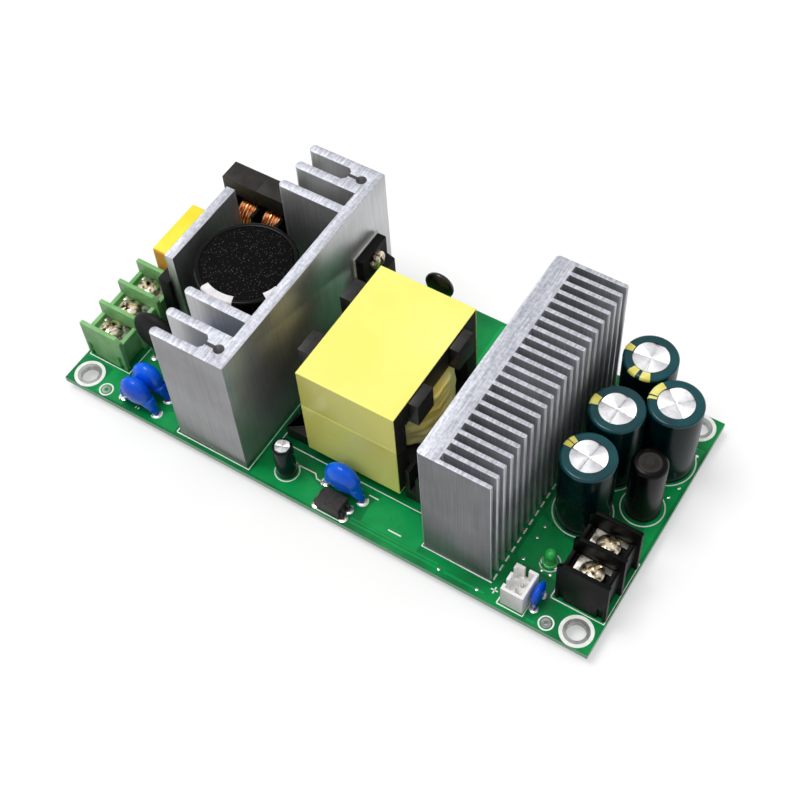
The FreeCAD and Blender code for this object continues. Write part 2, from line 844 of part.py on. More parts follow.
sec_long = S.secPitch * (SIZES["secFins"] - 1) + S.secFin
sec_y = (board_wide - sec_long) / 2 + S.secOff
sec = body("secondary_heatsink", edge(sec_left), front(sec_y), top)
wall = sketch(sec, "XY")
rectangle(wall, 0, 0, S.secWall, sec_long)
pad(sec, wall, S.sinkTall)
blade = sketch(sec, "XY")
polygon(blade, [
    (S.secWall - S.secTip, 0), (S.secDeep - S.secTip, 0), (S.secDeep, S.secTip),
    (S.secDeep, S.secFin - S.secTip), (S.secDeep - S.secTip, S.secFin),
    (S.secWall - S.secTip, S.secFin)])
tooth = pad(sec, blade, S.sinkTall)
pattern(sec, tooth, "V_Axis", S.secPitch, int(SIZES["secFins"]))
round_edges(sec, S.secCorner, lambda e: upright(e, 0.0))


# Heatsink screws, driven up through the board from below

def sink_screws(name, x, y, gap, across):
    part = body(name, x, y, top)
    low = S.boardThickness
    for a in (0, gap):
        prism(part, 0, a, across, low + S.sinkReach, BORE_SIDES, "XY", -low)
        prism(part, 0, a, S.sinkHead, S.sinkHeadTall, HEAD_SIDES, "XY", -(low + S.sinkHeadTall))


sink_x = edge(pri_tips + channel_x)
sink_y = front(S.priY + channel_y)
sink_screws("primary_heatsink_screws", sink_x, sink_y,
            pri_long - channel_y * 2, S.priChannel - S.screwGap)
pin_in = S.secPinIn
legs = body("secondary_heatsink_pins", edge(sec_left), front(sec_y), top)
profile = sketch(legs, "XY", -(S.boardThickness + S.leadTip))
for a in (pin_in, sec_long - pin_in):
    centred(profile, S.secWall / 2, a, S.secPin, S.secPin)
    HOLES.append((edge(sec_left) + S.secWall / 2, front(sec_y) + a, S.secPin, S.secPin))
pad(legs, profile, S.boardThickness + S.leadTip)


# Full-pack transistor and rectifiers: thin tab above, thicker body below, three leads

def transistor(name, x, y, top_z, side):
    """Local x = 0 is the mounting face; the body grows towards side."""
    part = body(name, x, y, top)
    outline = sketch(part, "XZ", -(S.swWide / 2))
    low = top_z - S.swTall
    step = top_z - S.swTabTall
    polygon(outline, [
        (0, low), (S.swThick * side, low), (S.swThick * side, step),
        (S.swTabThick * side, step + S.swStep), (S.swTabThick * side, top_z), (0, top_z)])
    pad(part, outline, S.swWide)
    prism(part, 0, top_z - S.swHoleDown, S.swHole, S.swTabThick, BORE_SIDES, "YZ",
          0 if side > 0 else -S.swTabThick, True)
    spots = [(S.swLeadX * side, S.swPitch * i) for i in (-1, 0, 1)]
    leads(part, x, y, spots, low)
    return top_z - S.swHoleDown


def across_screw(name, x, y, z, side, reach, spots=(0,)):
    """A screw along X whose head bears on the face at local x = 0."""
    part = body(name, x, y, top)
    for a in spots:
        prism(part, a, z, S.screwDia, reach, BORE_SIDES, "YZ", -reach if side > 0 else 0)
        prism(part, a, z, S.screwHead, S.screwHeadTall, HEAD_SIDES, "YZ",
              0 if side > 0 else -S.screwHeadTall)


def tapped(owner, y, z, depth, start):
    prism(owner, y, z, S.screwDia + S.screwGap * 2, depth, BORE_SIDES, "YZ", start, True)


switch_y = front(S.swY)
switch_x = edge(pri_right + S.padThick)
hole_z = transistor("switching_transistor", switch_x, switch_y, S.swTop, 1)
sheet_pad = body("transistor_pad", edge(pri_right), switch_y, top)
face = sketch(sheet_pad, "YZ")
rectangle(face, -(S.swWide / 2) - S.padEdge, S.swTop - S.swTall - S.padEdge,
          S.swWide + S.padEdge * 2, S.swTall + S.padEdge * 2)
pad(sheet_pad, face, S.padThick)
prism(sheet_pad, 0, hole_z, S.swHole, S.padThick, BORE_SIDES, "YZ", 0, True)
across_screw("transistor_screw", switch_x + S.swTabThick, switch_y, hole_z, 1,
             S.swTabThick + S.padThick + S.priWall)
tapped(pri, S.swY - S.priY, hole_z, S.priWall, S.priDeep - S.priWall)

rect_x = edge(sec_left - S.padThick)
rect_ys = (front(S.rectA), front(S.rectB))
for name, at_y in zip(("output_rectifier_front", "output_rectifier_rear"), rect_ys):
    hole_z = transistor(name, rect_x, at_y, S.rectTop, -1)
pads = body("rectifier_pads", rect_x, rect_ys[0], top)
face = sketch(pads, "YZ")
gap = S.rectB - S.rectA
for a in (size(0), gap):
    rectangle(face, a - S.swWide / 2 - S.padEdge, S.rectTop - S.swTall - S.padEdge,
              S.swWide + S.padEdge * 2, S.swTall + S.padEdge * 2)
pad(pads, face, S.padThick)
for a in (size(0), gap):
    prism(pads, a, hole_z, S.swHole, S.padThick, BORE_SIDES, "YZ", 0, True)
across_screw("rectifier_screws", rect_x - S.swTabThick, rect_ys[0], hole_z, -1,
             S.swTabThick + S.padThick + S.secWall - S.screwSink, (0, gap))
for a in (S.rectA, S.rectB):
    tapped(sec, a - sec_y, hole_z, S.secWall - S.screwSink, 0)


# Transformer: two ferrite halves around a bobbin on pin rails, winding, tape band

tr_mid_x = edge(tr_left + S.trWide / 2)
tr_mid_y = front(S.trY + S.trDeep / 2)
core_deep = S.trDeep - S.tapeThick * 2
core_low = S.trLow
core_high = S.trLow + S.trTall - S.tapeThick
half_tall = (core_high - core_low) / 2
for name, side in (("transformer_core_lower", 1), ("transformer_core_upper", -1)):
    core = body(name, tr_mid_x, tr_mid_y, top)
    start = core_low if side > 0 else core_high
    block = sketch(core, "XY", start)
    centred(block, 0, 0, S.trWide, core_deep)
    pad(core, block, half_tall, side < 0)
    room = sketch(core, "XY", start + S.trPlate * side)
    centred(room, 0, 0, S.trWide, core_deep - S.trLeg * 2)
    pocket(core, room, half_tall - S.trPlate, side > 0)
    inset = S.trPlate if side > 0 else -half_tall
    prism(core, 0, 0, S.trPole, half_tall - S.trPlate, POLE_SIDES, "XY", start + inset)

bobbin = body("transformer_bobbin", tr_mid_x, tr_mid_y, top)
flange_deep = core_deep - S.trLeg * 2 - S.bobGap * 2
tube_wide = S.trPole + S.bobGap * 2 + S.bobWall * 2
shelf_low = core_low + S.trPlate
shelf_high = core_high - S.trPlate
prism(bobbin, 0, 0, tube_wide, shelf_high - shelf_low, POLE_SIDES, "XY", shelf_low)
left_out = S.trWide / 2 + S.railOut
right_out = S.trWide / 2 + S.railOutRight
flange = sketch(bobbin, "XY", shelf_low)
rectangle(flange, -(S.trWide / 2 + S.riser), -(flange_deep / 2),
          S.trWide + S.riser * 2, flange_deep)
pad(bobbin, flange, S.bobFlange)
# upper flange with two shoes on each side that carry the wire ends over the core edge
crown = sketch(bobbin, "XY", shelf_high - S.bobFlange)
rectangle(crown, -(S.trWide / 2), -(flange_deep / 2), S.trWide, flange_deep)
pad(bobbin, crown, S.bobFlange)
shoes = sketch(bobbin, "XY", shelf_high - S.bobFlange)
ends = sketch(bobbin, "XY", shelf_high - S.bobFlange)
core_side = S.trWide / 2 + S.bobGap
for at_y in (-S.shoeApart, S.shoeApart):
    low = at_y - S.shoeWide / 2
    rectangle(shoes, -(S.trWide / 2 + S.shoeOut), low,
              S.trWide + S.shoeOut + S.shoeOutRight, S.shoeWide)
    rectangle(ends, -(S.trWide / 2 + S.shoeOut), low, S.shoeOut - S.bobGap, S.shoeWide)
    rectangle(ends, core_side, low, S.shoeOutRight - S.bobGap, S.shoeWide)
pad(bobbin, shoes, S.bobFlange)
pad(bobbin, ends, S.shoeTall)
# pin rails on both sides, joined to the lower flange by risers beside the core
for side, out in ((-1, left_out), (1, right_out)):
    rail = sketch(bobbin, "XZ", -(S.railLong / 2))
    inner = S.trWide / 2 + S.bobGap
    step = inner + S.riser - S.bobGap
    if side < 0:
        shape = [(-inner, 0), (-out, 0), (-out, S.railTall), (-step, S.railTall),
                 (-step, shelf_low + S.bobFlange), (-inner, shelf_low + S.bobFlange)]
    else:
        shape = [(inner, 0), (out, 0), (out, S.railTall), (step, S.railTall),
                 (step, shelf_low + S.bobFlange), (inner, shelf_low + S.bobFlange)]
    polygon(rail, shape)
    pad(bobbin, rail, S.railLong)
    notch = sketch(bobbin, "XY", S.railTall - S.notchDeep)
    step_y = S.trPinPitch
    for i in range(-2, 3):
        start = -out - 1 if side < 0 else step + 0.1
        rectangle(notch, start, step_y * i - S.notchWide / 2, out + 1 - step - 0.1, S.notchWide)
    pocket(bobbin, notch, S.notchDeep, True)
prism(bobbin, 0, 0, S.trPole + S.bobGap * 2, shelf_high - shelf_low, POLE_SIDES, "XY",
      shelf_low, True)

coil = body("transformer_winding", tr_mid_x, tr_mid_y, top)
profile = sketch(coil, "XY", shelf_low + S.bobFlange)
wind_deep = core_deep - (S.trLeg + S.windAir) * 2
centred(profile, 0, 0, S.trWide + S.windBulge * 2, wind_deep)
pad(coil, profile, shelf_high - shelf_low - S.bobFlange * 2)
# rounded in two steps towards the curve that turns of wire take
round_edges(coil, wind_deep * 0.3, lambda e: upright(e), "Chamfer")
round_edges(coil, wind_deep * 0.09, lambda e: upright(e), "Chamfer")
prism(coil, 0, 0, tube_wide + S.bobGap * 2, shelf_high - shelf_low, POLE_SIDES, "XY",
      shelf_low, True)

tape = body("transformer_tape", tr_mid_x, tr_mid_y, top)
band = sketch(tape, "YZ", -(S.trWide / 2))
centred(band, 0, (core_low + core_high) / 2, S.trDeep, core_high - core_low + S.tapeThick * 2)
centred(band, 0, (core_low + core_high) / 2, core_deep, core_high - core_low)
pad(tape, band, S.trWide)

pins = body("transformer_pins", tr_mid_x, tr_mid_y, top)
for column in (-left_out + S.pinIn, right_out - S.pinInRight):
    profile = sketch(pins, "XY", -(S.boardThickness + S.leadTip))
    centred(profile, column, S.trPinPitch * -2.5, S.leadThick, S.leadThick)
    first = pad(pins, profile, S.boardThickness + S.leadTip)
    doc.recompute()
    pattern(pins, first, "V_Axis", S.trPinPitch, 6)
    for i in range(6):
        HOLES.append((tr_mid_x + column, tr_mid_y + S.trPinPitch * (i - 2.5),
                      S.leadThick, S.leadThick))


# Optocoupler on two leads a side

opto_x = edge(tr_left + S.optoIn)
opto_y = front(S.optoY)
opto = body("optocoupler", opto_x, opto_y, top)
block = sketch(opto, "XY", S.optoLow)
centred(block, 0, 0, S.optoLong, S.optoWide)
pad(opto, block, S.optoTall)
reach = S.optoSpan / 2 + S.leadThin / 2
arm_z = S.optoLow + S.optoTall / 2
for lift in (-(S.optoPitch / 2 + S.leadWide / 2), S.optoPitch / 2 - S.leadWide / 2):
    arms = sketch(opto, "XZ", lift)
    centred(arms, 0, arm_z, reach * 2, S.leadThin)
    pad(opto, arms, S.leadWide)
leads(opto, opto_x, opto_y,
      [(S.optoSpan / 2 * a, S.optoPitch / 2 * b) for a in (-1, 1) for b in (-1, 1)],
      arm_z, S.leadThin, S.leadWide)


# Rod inductor: ferrite rod standing in shrink tube

rod_x = board_long / 2 - S.rodX
rod_y = front(S.rodY)
rod = body("rod_inductor_core", rod_x, rod_y, top)
prism(rod, 0, 0, S.rodCore, S.rodTall - S.rodSunk, DISC_SIDES)
leads(rod, rod_x, rod_y, [(-(S.rodPitch / 2), 0), (S.rodPitch / 2, 0)], 0)
tube = body("rod_inductor_tube", rod_x, rod_y, top)
prism(tube, 0, 0, S.rodDia, S.rodTall, DISC_SIDES)
rim = S.rodTall.value
round_edges(tube, S.rodShoulder / 2, lambda e: e.BoundBox.ZMin > rim - 1e-4, "Chamfer")
prism(tube, 0, 0, S.rodCore + S.rodAir * 2, S.rodTall, DISC_SIDES, cut=True)


# Fan header: open-topped shell around two pins, with side notches and a rear slot

fan_x = board_long / 2 - S.fanX
fan_y = front(S.fanY)
shell = body("fan_header_housing", fan_x, fan_y, top)
base = sketch(shell, "XY")
rectangle(base, 0, 0, S.fanWide, S.fanLong)
pad(shell, base, S.fanTall)
hollow = sketch(shell, "XY", S.fanFloor)
rectangle(hollow, S.fanWall, S.fanWall, S.fanWide - S.fanWall * 2, S.fanLong - S.fanWall * 2)
pocket(shell, hollow, S.fanTall - S.fanFloor, True)
ways = sketch(shell, "XY", S.fanFloor)
for a in (S.fanSlotIn, S.fanLong - S.fanSlotIn):
    rectangle(ways, 0, a - S.fanSlot / 2, S.fanWall, S.fanSlot)
rectangle(ways, S.fanWide / 2 - S.fanSlot / 2, S.fanLong - S.fanWall, S.fanSlot, S.fanWall)
pocket(shell, ways, S.fanTall - S.fanFloor, True)
spots = [(S.fanWide / 2, S.fanLong / 2 + S.fanPitch / 2 * a) for a in (-1, 1)]
bores = sketch(shell, "XY")
for a, b in spots:
    centred(bores, a, b, S.fanPin + S.leadGap, S.fanPin + S.leadGap)
pocket(shell, bores, S.fanFloor, True)
pins = body("fan_header_pins", fan_x, fan_y, top)
leads(pins, fan_x, fan_y, spots, S.fanTall - S.fanWall, S.fanPin)


# Indicator lamp: flanged body with a domed top

lamp_x = board_long / 2 - S.lampX
lamp_y = front(S.lampY)
lamp = body("indicator_lamp", lamp_x, lamp_y, top)
prism(lamp, 0, 0, S.lampDia, S.lampTall, POLE_SIDES)
crown = S.lampTall.value
round_edges(lamp, S.lampBevel, lambda e: e.BoundBox.ZMin > crown - 1e-4, "Chamfer")
prism(lamp, 0, 0, S.lampFlange, S.lampRim, POLE_SIDES)
leads(lamp, lamp_x, lamp_y, [(-(S.lampPitch / 2), 0), (S.lampPitch / 2, 0)], 0)


# Parts on the underside: control chip and chip resistors, thinner than the lead tips

under = -S.boardThickness
chip_x = edge(pri_right + S.chipAway)
chip_y = front(S.chipY)
chip = body("control_chip", chip_x, chip_y, top)
block = sketch(chip, "XY", under)
centred(block, 0, 0, S.chipLong, S.chipWide)
pad(chip, block, S.chipTall, True)
feet = sketch(chip, "XY", under)
for i in range(4):
    centred(feet, S.chipPitch * (i - 1.5), 0, S.chipFoot, S.chipWide + S.chipLegOut * 2)
pad(chip, feet, S.chipFootTall, True)

chips = body("chip_resistors", chip_x, chip_y, top)
block = sketch(chips, "XY", under)
for i in range(3):
    centred(block, S.chipRow + S.resistorGap * i, 0, S.resistorWide, S.resistorLong)
pad(chips, block, S.resistorTall, True)


# Printed board: outline and mounting holes, then the holes of every lead

blank = body("board_blank")
NODES.remove(blank)
outline = sketch(blank, "XY")
centred(outline, 0, 0, board_long, board_wide)
mount_x = board_long / 2 - S.mountInsetX
mount_y = board_wide / 2 - S.mountInsetY
for a in (-1, 1):
    for b in (-1, 1):
        circle(outline, mount_x * a, mount_y * b, S.mountHole)
pad(blank, outline, S.boardThickness)
for x in (edge(S.testInsetX), -edge(S.testInsetX)):
    prism(blank, x, front(S.testInsetY), S.testHole, S.boardThickness, POLE_SIDES, cut=True)
for y in (sink_y, sink_y + pri_long - channel_y * 2):
    prism(blank, sink_x, y, S.priChannel + S.screwGap, S.boardThickness, BORE_SIDES, cut=True)
drills = []
for x, y, thick, wide in HOLES:
    drill = doc.addObject("Part::Box", "Drill")
    thick = thick + S.leadGap * 2
    wide = wide + S.leadGap * 2
    drill.setExpression("Length", thick.text)
    drill.setExpression("Width", wide.text)
    drill.setExpression("Height", (S.boardThickness * 3).text)
    place(drill, x - thick / 2, y - wide / 2, -S.boardThickness)
    drills.append(drill)
block = doc.addObject("Part::MultiFuse", "Drills")
block.Shapes = drills
block.Refine = False
board = doc.addObject("Part::Cut", "circuit_board")
board.Label = "circuit_board"
board.Base = blank
board.Tool = block
board.Refine = False
NODES.append(board)

doc.recompute()
bad = [o.Label for o in doc.Objects if "Invalid" in o.State or "Error" in o.State]
for node in NODES:
    if node.Shape.isNull() or not node.Shape.isValid():
        bad.append(node.Label)
if bad:
    raise ValueError("not built: " + ", ".join(bad))
os.makedirs("parts", exist_ok=True)
for node in NODES:
    node.Shape.exportStep("parts/" + node.Label + ".step")
print(len(NODES), "sub-parts,", len(HOLES), "lead holes, board",
      round(board_long.value, 2), "x", round(board_wide.value, 2))
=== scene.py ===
# %% [markdown]
# # Dressing an open frame power supply
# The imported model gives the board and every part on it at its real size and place.
# This lesson adds what the eye looks for next: soft moulded edges, solder, wire turns,
# ink on the board, and a finish for each material. The model itself is never moved.

# %% Load the frame
import json
import math
import bmesh
import bpy
from mathutils import Matrix, Vector, noise


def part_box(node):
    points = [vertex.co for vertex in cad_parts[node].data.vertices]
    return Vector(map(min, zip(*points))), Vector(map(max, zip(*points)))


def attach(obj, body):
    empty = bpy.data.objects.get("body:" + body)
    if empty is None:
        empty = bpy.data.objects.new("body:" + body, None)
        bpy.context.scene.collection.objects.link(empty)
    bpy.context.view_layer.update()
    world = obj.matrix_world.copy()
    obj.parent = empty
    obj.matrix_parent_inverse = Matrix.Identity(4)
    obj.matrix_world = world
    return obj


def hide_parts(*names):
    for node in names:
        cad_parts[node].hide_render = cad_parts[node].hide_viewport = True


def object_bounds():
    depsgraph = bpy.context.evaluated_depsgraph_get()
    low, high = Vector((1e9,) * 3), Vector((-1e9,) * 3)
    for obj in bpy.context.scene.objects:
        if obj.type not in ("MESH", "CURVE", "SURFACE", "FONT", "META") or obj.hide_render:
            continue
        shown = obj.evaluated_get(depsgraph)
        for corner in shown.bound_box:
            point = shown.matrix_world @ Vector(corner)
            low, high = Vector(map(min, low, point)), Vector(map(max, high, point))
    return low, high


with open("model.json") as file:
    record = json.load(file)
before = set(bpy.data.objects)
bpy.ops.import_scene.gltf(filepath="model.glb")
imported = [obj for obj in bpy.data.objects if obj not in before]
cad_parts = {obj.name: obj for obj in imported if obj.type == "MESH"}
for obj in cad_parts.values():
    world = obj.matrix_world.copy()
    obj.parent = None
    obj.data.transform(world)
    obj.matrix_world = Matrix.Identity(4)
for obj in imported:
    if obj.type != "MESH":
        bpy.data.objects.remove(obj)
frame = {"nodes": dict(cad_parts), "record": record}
cad_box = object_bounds()
print("nodes", len(frame["nodes"]), "box", [round(v, 4) for v in cad_box[1] - cad_box[0]])

# %% [markdown]
# Blender works in metres, while a board is drawn in millimetres from its front left corner.
# One factor and one small function keep both readable. Heights start at the board's top face.

# %% Units and places
MM = 0.001
BOARD_LOW, BOARD_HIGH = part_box("circuit_board")
TOP = BOARD_HIGH.z
ORIGIN = Vector((0, 0, 0))


def on_board(x, y, z=0.0):
    """A place on the board in millimetres, from its front left corner and its top face."""
    return Vector((BOARD_LOW.x + x * MM, BOARD_LOW.y + y * MM, TOP + z * MM))


def middle(node):
    low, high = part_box(node)
    return (low + high) / 2


def half_width(node):
    low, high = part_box(node)
    return (high.x - low.x) / MM / 2


def height_of(node):
    """How far a node rises above the board, in millimetres."""
    return (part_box(node)[1].z - TOP) / MM


def in_scene(name, data):
    """A new object, linked to the scene."""
    made = bpy.data.objects.new(name, data)
    bpy.context.scene.collection.objects.link(made)
    return made


print("board", [round(v / MM, 1) for v in BOARD_HIGH - BOARD_LOW], "mm")

# %% [markdown]
# ## The camera
# The photograph was taken from the front right, about 55 degrees above the board, with a
# slight roll. Its place, aim and focal length were found by fitting the board's corners.

# %% Camera
EYE = Vector((120.7, -158.6, 291.4)) * MM
LOOK = Vector((-0.33541, 0.45574, -0.8245))
ROLL = math.radians(-5.07)
camera_data = bpy.data.cameras.new("camera")
camera_data.sensor_width = 36.0
camera_data.lens = 64.35
camera_data.clip_start = 0.01
camera = in_scene("camera", camera_data)
turned_head = LOOK.to_track_quat("-Z", "Y").to_matrix() @ Matrix.Rotation(ROLL, 3, "Z")
camera.matrix_world = Matrix.Translation(EYE) @ turned_head.to_4x4()
bpy.context.scene.camera = camera
bpy.context.scene.view_settings.view_transform = "Standard"

# %% [markdown]
# ## Nodes and colours
# Painters write colours as hex, and shaders want linear values, so one function converts them.
# One more function adds a node to any tree, sets it up and links it.

# %% Colour and node helpers


def linear(text):
    """The linear colour of a hex value such as 0a8a4c."""
    values = [int(text[i:i + 2], 16) / 255 for i in (0, 2, 4)]
    return [v / 12.92 if v <= 0.04045 else ((v + 0.055) / 1.055) ** 2.4 for v in values] + [1.0]


def add(tree, kind, inputs=None, **settings):
    """Add a node; an input is a value, or an output socket to link."""
    made = tree.nodes.new(kind)
    for name, value in settings.items():
        setattr(made, name, value)
    for name, value in (inputs or {}).items():
        if isinstance(value, bpy.types.NodeSocket):
            tree.links.new(value, made.inputs[name])
        else:
            made.inputs[name].default_value = value
    return made


def surface(name, colour, roughness, **sockets):
    """A new material whose plain values sit on the shader's own sockets."""
    made = bpy.data.materials.new(name)
    made.use_nodes = True
    shader = made.node_tree.nodes["Principled BSDF"]
    shader.inputs["Base Color"].default_value = linear(colour)
    shader.inputs["Roughness"].default_value = roughness
    for socket, value in sockets.items():
        shader.inputs[socket.replace("_", " ")].default_value = value
    return made, made.node_tree, shader


def stretched(tree, scale, turn=0.0):
    """Object coordinates, scaled per axis and turned about Z."""
    place = add(tree, "ShaderNodeTexCoord")
    mapped = add(tree, "ShaderNodeMapping", {"Vector": place.outputs["Object"]})
    mapped.inputs["Scale"].default_value = scale
    mapped.inputs["Rotation"].default_value = (0, 0, turn)
    return mapped.outputs["Vector"]


def grain(tree, size_mm, detail=2.0, scale=(1, 1, 1), turn=0.0):
    """Noise whose grains are about size_mm across."""
    made = add(tree, "ShaderNodeTexNoise", {"Vector": stretched(tree, scale, turn),
                                            "Scale": 1 / (size_mm * MM), "Detail": detail})
    return made.outputs["Fac"]


def blend(tree, factor, low, high, at_low=0.35, at_high=0.65):
    """Two colours mixed by a pattern, with the pattern's middle stretched."""
    ramp = add(tree, "ShaderNodeValToRGB", {"Fac": factor})
    stops = ramp.color_ramp.elements
    for stop, place, colour in ((stops[0], at_low, low), (stops[1], at_high, high)):
        stop.position = place
        stop.color = linear(colour)
    return ramp.outputs["Color"]


def rough(tree, shader, factor, low, high):
    spread = add(tree, "ShaderNodeMapRange", {"Value": factor, "To Min": low, "To Max": high})
    tree.links.new(spread.outputs["Result"], shader.inputs["Roughness"])


def bump(tree, shader, height, depth_mm, strength=1.0):
    made = add(tree, "ShaderNodeBump", {"Height": height, "Distance": depth_mm * MM,
                                        "Strength": strength})
    tree.links.new(made.outputs["Normal"], shader.inputs["Normal"])


def paint(tree, shader, colour):
    tree.links.new(colour, shader.inputs["Base Color"])


MATERIALS = {}

# %% [markdown]
# ## Board materials
# A board is woven glass in epoxy under a thin green lacquer, the solder mask. Over copper the
# mask looks brighter than over bare laminate, and the cut edge shows pale glass. White ink
# prints the outlines.

# %% Solder mask and laminate
MASK_DARK, MASK_LIGHT = "006c38", "009048"


def solder_mask(name, dark, light):
    made, tree, shader = surface(name, light, 0.3, Specular_IOR_Level=0.22)
    cloth = grain(tree, 9.0, 4.0)
    paint(tree, shader, blend(tree, cloth, dark, light))
    bump(tree, shader, grain(tree, 0.5), 0.02, 0.5)
    rough(tree, shader, grain(tree, 3.0), 0.22, 0.4)
    MATERIALS[name] = made
    return tree, shader


solder_mask("mask_over_copper", MASK_LIGHT, "0ca456")
laminate_tree, laminate_shader = solder_mask("mask_over_laminate", MASK_DARK, MASK_LIGHT)

# %% Cut edge of the laminate
facing = add(laminate_tree, "ShaderNodeNewGeometry").outputs["Normal"]
upward = add(laminate_tree, "ShaderNodeSeparateXYZ", {"Vector": facing}).outputs["Z"]
flat_face = add(laminate_tree, "ShaderNodeMath", {0: upward}, operation="ABSOLUTE").outputs[0]
edge_mix = add(laminate_tree, "ShaderNodeMix", {"Factor": flat_face}, data_type="RGBA")
edge_mix.inputs["A"].default_value = linear("84bc94")
mask_colour = laminate_shader.inputs["Base Color"].links[0].from_socket
laminate_tree.links.new(mask_colour, edge_mix.inputs["B"])
paint(laminate_tree, laminate_shader, edge_mix.outputs["Result"])

# %% White ink


def screen_ink():
    made, tree, shader = surface("screen_ink", "eef2ea", 0.55)
    paint(tree, shader, blend(tree, grain(tree, 1.2), "eef3ea", "ffffff"))
    bump(tree, shader, grain(tree, 0.25), 0.005, 0.3)
    MATERIALS["screen_ink"] = made


screen_ink()

# %% [markdown]
# ## Metals
# The heatsinks are extruded aluminium. The die leaves fine lines along the length, here the
# height, and the saw that cut the lengths leaves bright ends with crossing marks. Both are
# noise: stretched along the height on the sides, and laid across, over flecks, on the ends.

# %% Extruded aluminium
# Bare aluminium carries a thin matt oxide, which lifts the dark flanks between the fins.
MATT_OXIDE = 0.85
END_ROUGHNESS = 0.58


def extruded_aluminium(name, side_dark, side_light, saw_angle, outer, smoothest, coarsest):
    """outer is the place along Y below which the front flank gets painted shade, and how strong
    that shade is.
    """
    made, tree, shader = surface(name, side_light, 0.3, Metallic=MATT_OXIDE)
    place = add(tree, "ShaderNodeTexCoord").outputs["Object"]
    along = add(tree, "ShaderNodeSeparateXYZ", {"Vector": place}).outputs["Y"]
    limit, front_shade_share = outer
    is_outer = add(tree, "ShaderNodeMath", {0: along, 1: limit}, operation="LESS_THAN").outputs[0]
    painted_front_shade = add(tree, "ShaderNodeMath", {0: is_outer, 1: front_shade_share}, operation="MULTIPLY").outputs[0]
    normal = add(tree, "ShaderNodeNewGeometry").outputs["Normal"]
    up = add(tree, "ShaderNodeSeparateXYZ", {"Vector": normal}).outputs["Z"]
    is_end = add(tree, "ShaderNodeMath", {0: up, 1: 0.8}, operation="GREATER_THAN").outputs[0]
    die_lines = grain(tree, 0.35, 3.0, (1, 1, 0.02))
    clouds = grain(tree, 14.0, 3.0)
    saw_marks = grain(tree, 0.4, 4.0, (1, 0.1, 1), saw_angle)
    flecks = grain(tree, 0.8, 6.0)
    side = add(tree, "ShaderNodeMix",
               {"Factor": 0.4, "A": blend(tree, clouds, side_dark, side_light),
                "B": blend(tree, die_lines, side_dark, side_light)},
               data_type="RGBA", blend_type="MIX").outputs["Result"]
    # Painted shade: the front flank is darkened towards 2c2c2e.
    side = add(tree, "ShaderNodeMix", {"Factor": painted_front_shade, "A": side, "B": linear("2c2c2e")},
               data_type="RGBA").outputs["Result"]
    ends = add(tree, "ShaderNodeMix", {"Factor": 0.65, "A": blend(tree, flecks, "a8aab4", "f0f2fa"),
                                       "B": blend(tree, saw_marks, "b0b2bc", "e4e6ee")},
               data_type="RGBA").outputs["Result"]
    paint(tree, shader, add(tree, "ShaderNodeMix", {"Factor": is_end, "A": side, "B": ends},
                            data_type="RGBA").outputs["Result"])
    height = add(tree, "ShaderNodeMix", {"Factor": is_end, "A": die_lines, "B": saw_marks},
                 data_type="FLOAT").outputs["Result"]
    bump(tree, shader, height, 0.03, 0.7)
    side_rough = add(tree, "ShaderNodeMapRange", {"Value": clouds, "To Min": smoothest,
                                                  "To Max": coarsest})
    all_rough = add(tree, "ShaderNodeMix", {"Factor": is_end, "A": side_rough.outputs["Result"],
                                            "B": END_ROUGHNESS}, data_type="FLOAT")
    tree.links.new(all_rough.outputs["Result"], shader.inputs["Roughness"])
    MATERIALS[name] = made


# The pair in each call places the front flank's painted shade and sets its strength.
extruded_aluminium("extruded_aluminium", "b0b0b2", "d2d2d4", 0.9,
                   (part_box("primary_heatsink")[0].y + 0.1 * MM, 0.5), 0.3, 0.46)
extruded_aluminium("finned_aluminium", "a8a9ae", "d8d9de", 0.5,
                   (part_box("secondary_heatsink")[0].y + 0.1 * MM, 0.7), 0.4, 0.55)

# %% Plated steel, tinned pads and enamelled copper
# Each row: dark and light colour, patch size in millimetres, how much of the dark shows, lowest
# and highest roughness, and the depth of small dents.
METALS = {
    "plated_steel": ("3c2e1c", "f8ecd2", 1.3, 0.36, 0.26, 0.42, 0.04),
    "nickel_clamp": ("5c5850", "d8d4c8", 2.2, 0.42, 0.28, 0.46, 0.02),
    "tinned_eyelet": ("8c8c8a", "b4b4b2", 2.5, 0.35, 0.25, 0.40, 0.02),
    "enamelled_copper": ("d86c2c", "ffbe86", 2.0, 0.35, 0.18, 0.34, 0.01),
    "can_aluminium": ("f0eef4", "ffffff", 1.5, 0.35, 0.36, 0.50, 0.006),
    "tin_solder": ("c4c5c3", "f8f8f4", 2.5, 0.35, 0.20, 0.40, 0.02),
}
for metal_name, (dark, light, patch, share, smooth, coarse, dents) in METALS.items():
    made, tree, shader = surface(metal_name, light, smooth, Metallic=1.0)
    paint(tree, shader, blend(tree, grain(tree, patch, 3.0), dark, light, share, share + 0.2))
    rough(tree, shader, grain(tree, patch * 0.6, 3.0), smooth, coarse)
    bump(tree, shader, grain(tree, patch * 0.6), dents, 0.5)
    MATERIALS[metal_name] = made

# %% [markdown]
# ## Plastics, tape, coatings and ferrite
# Most of the other finishes differ in colour, gloss and grain size only, so one function makes
# them and a table names them. Each row: dark and light colour, grain in millimetres, lowest
# and highest roughness, depth of the moulded or dipped texture, a clear coat, and the shine.

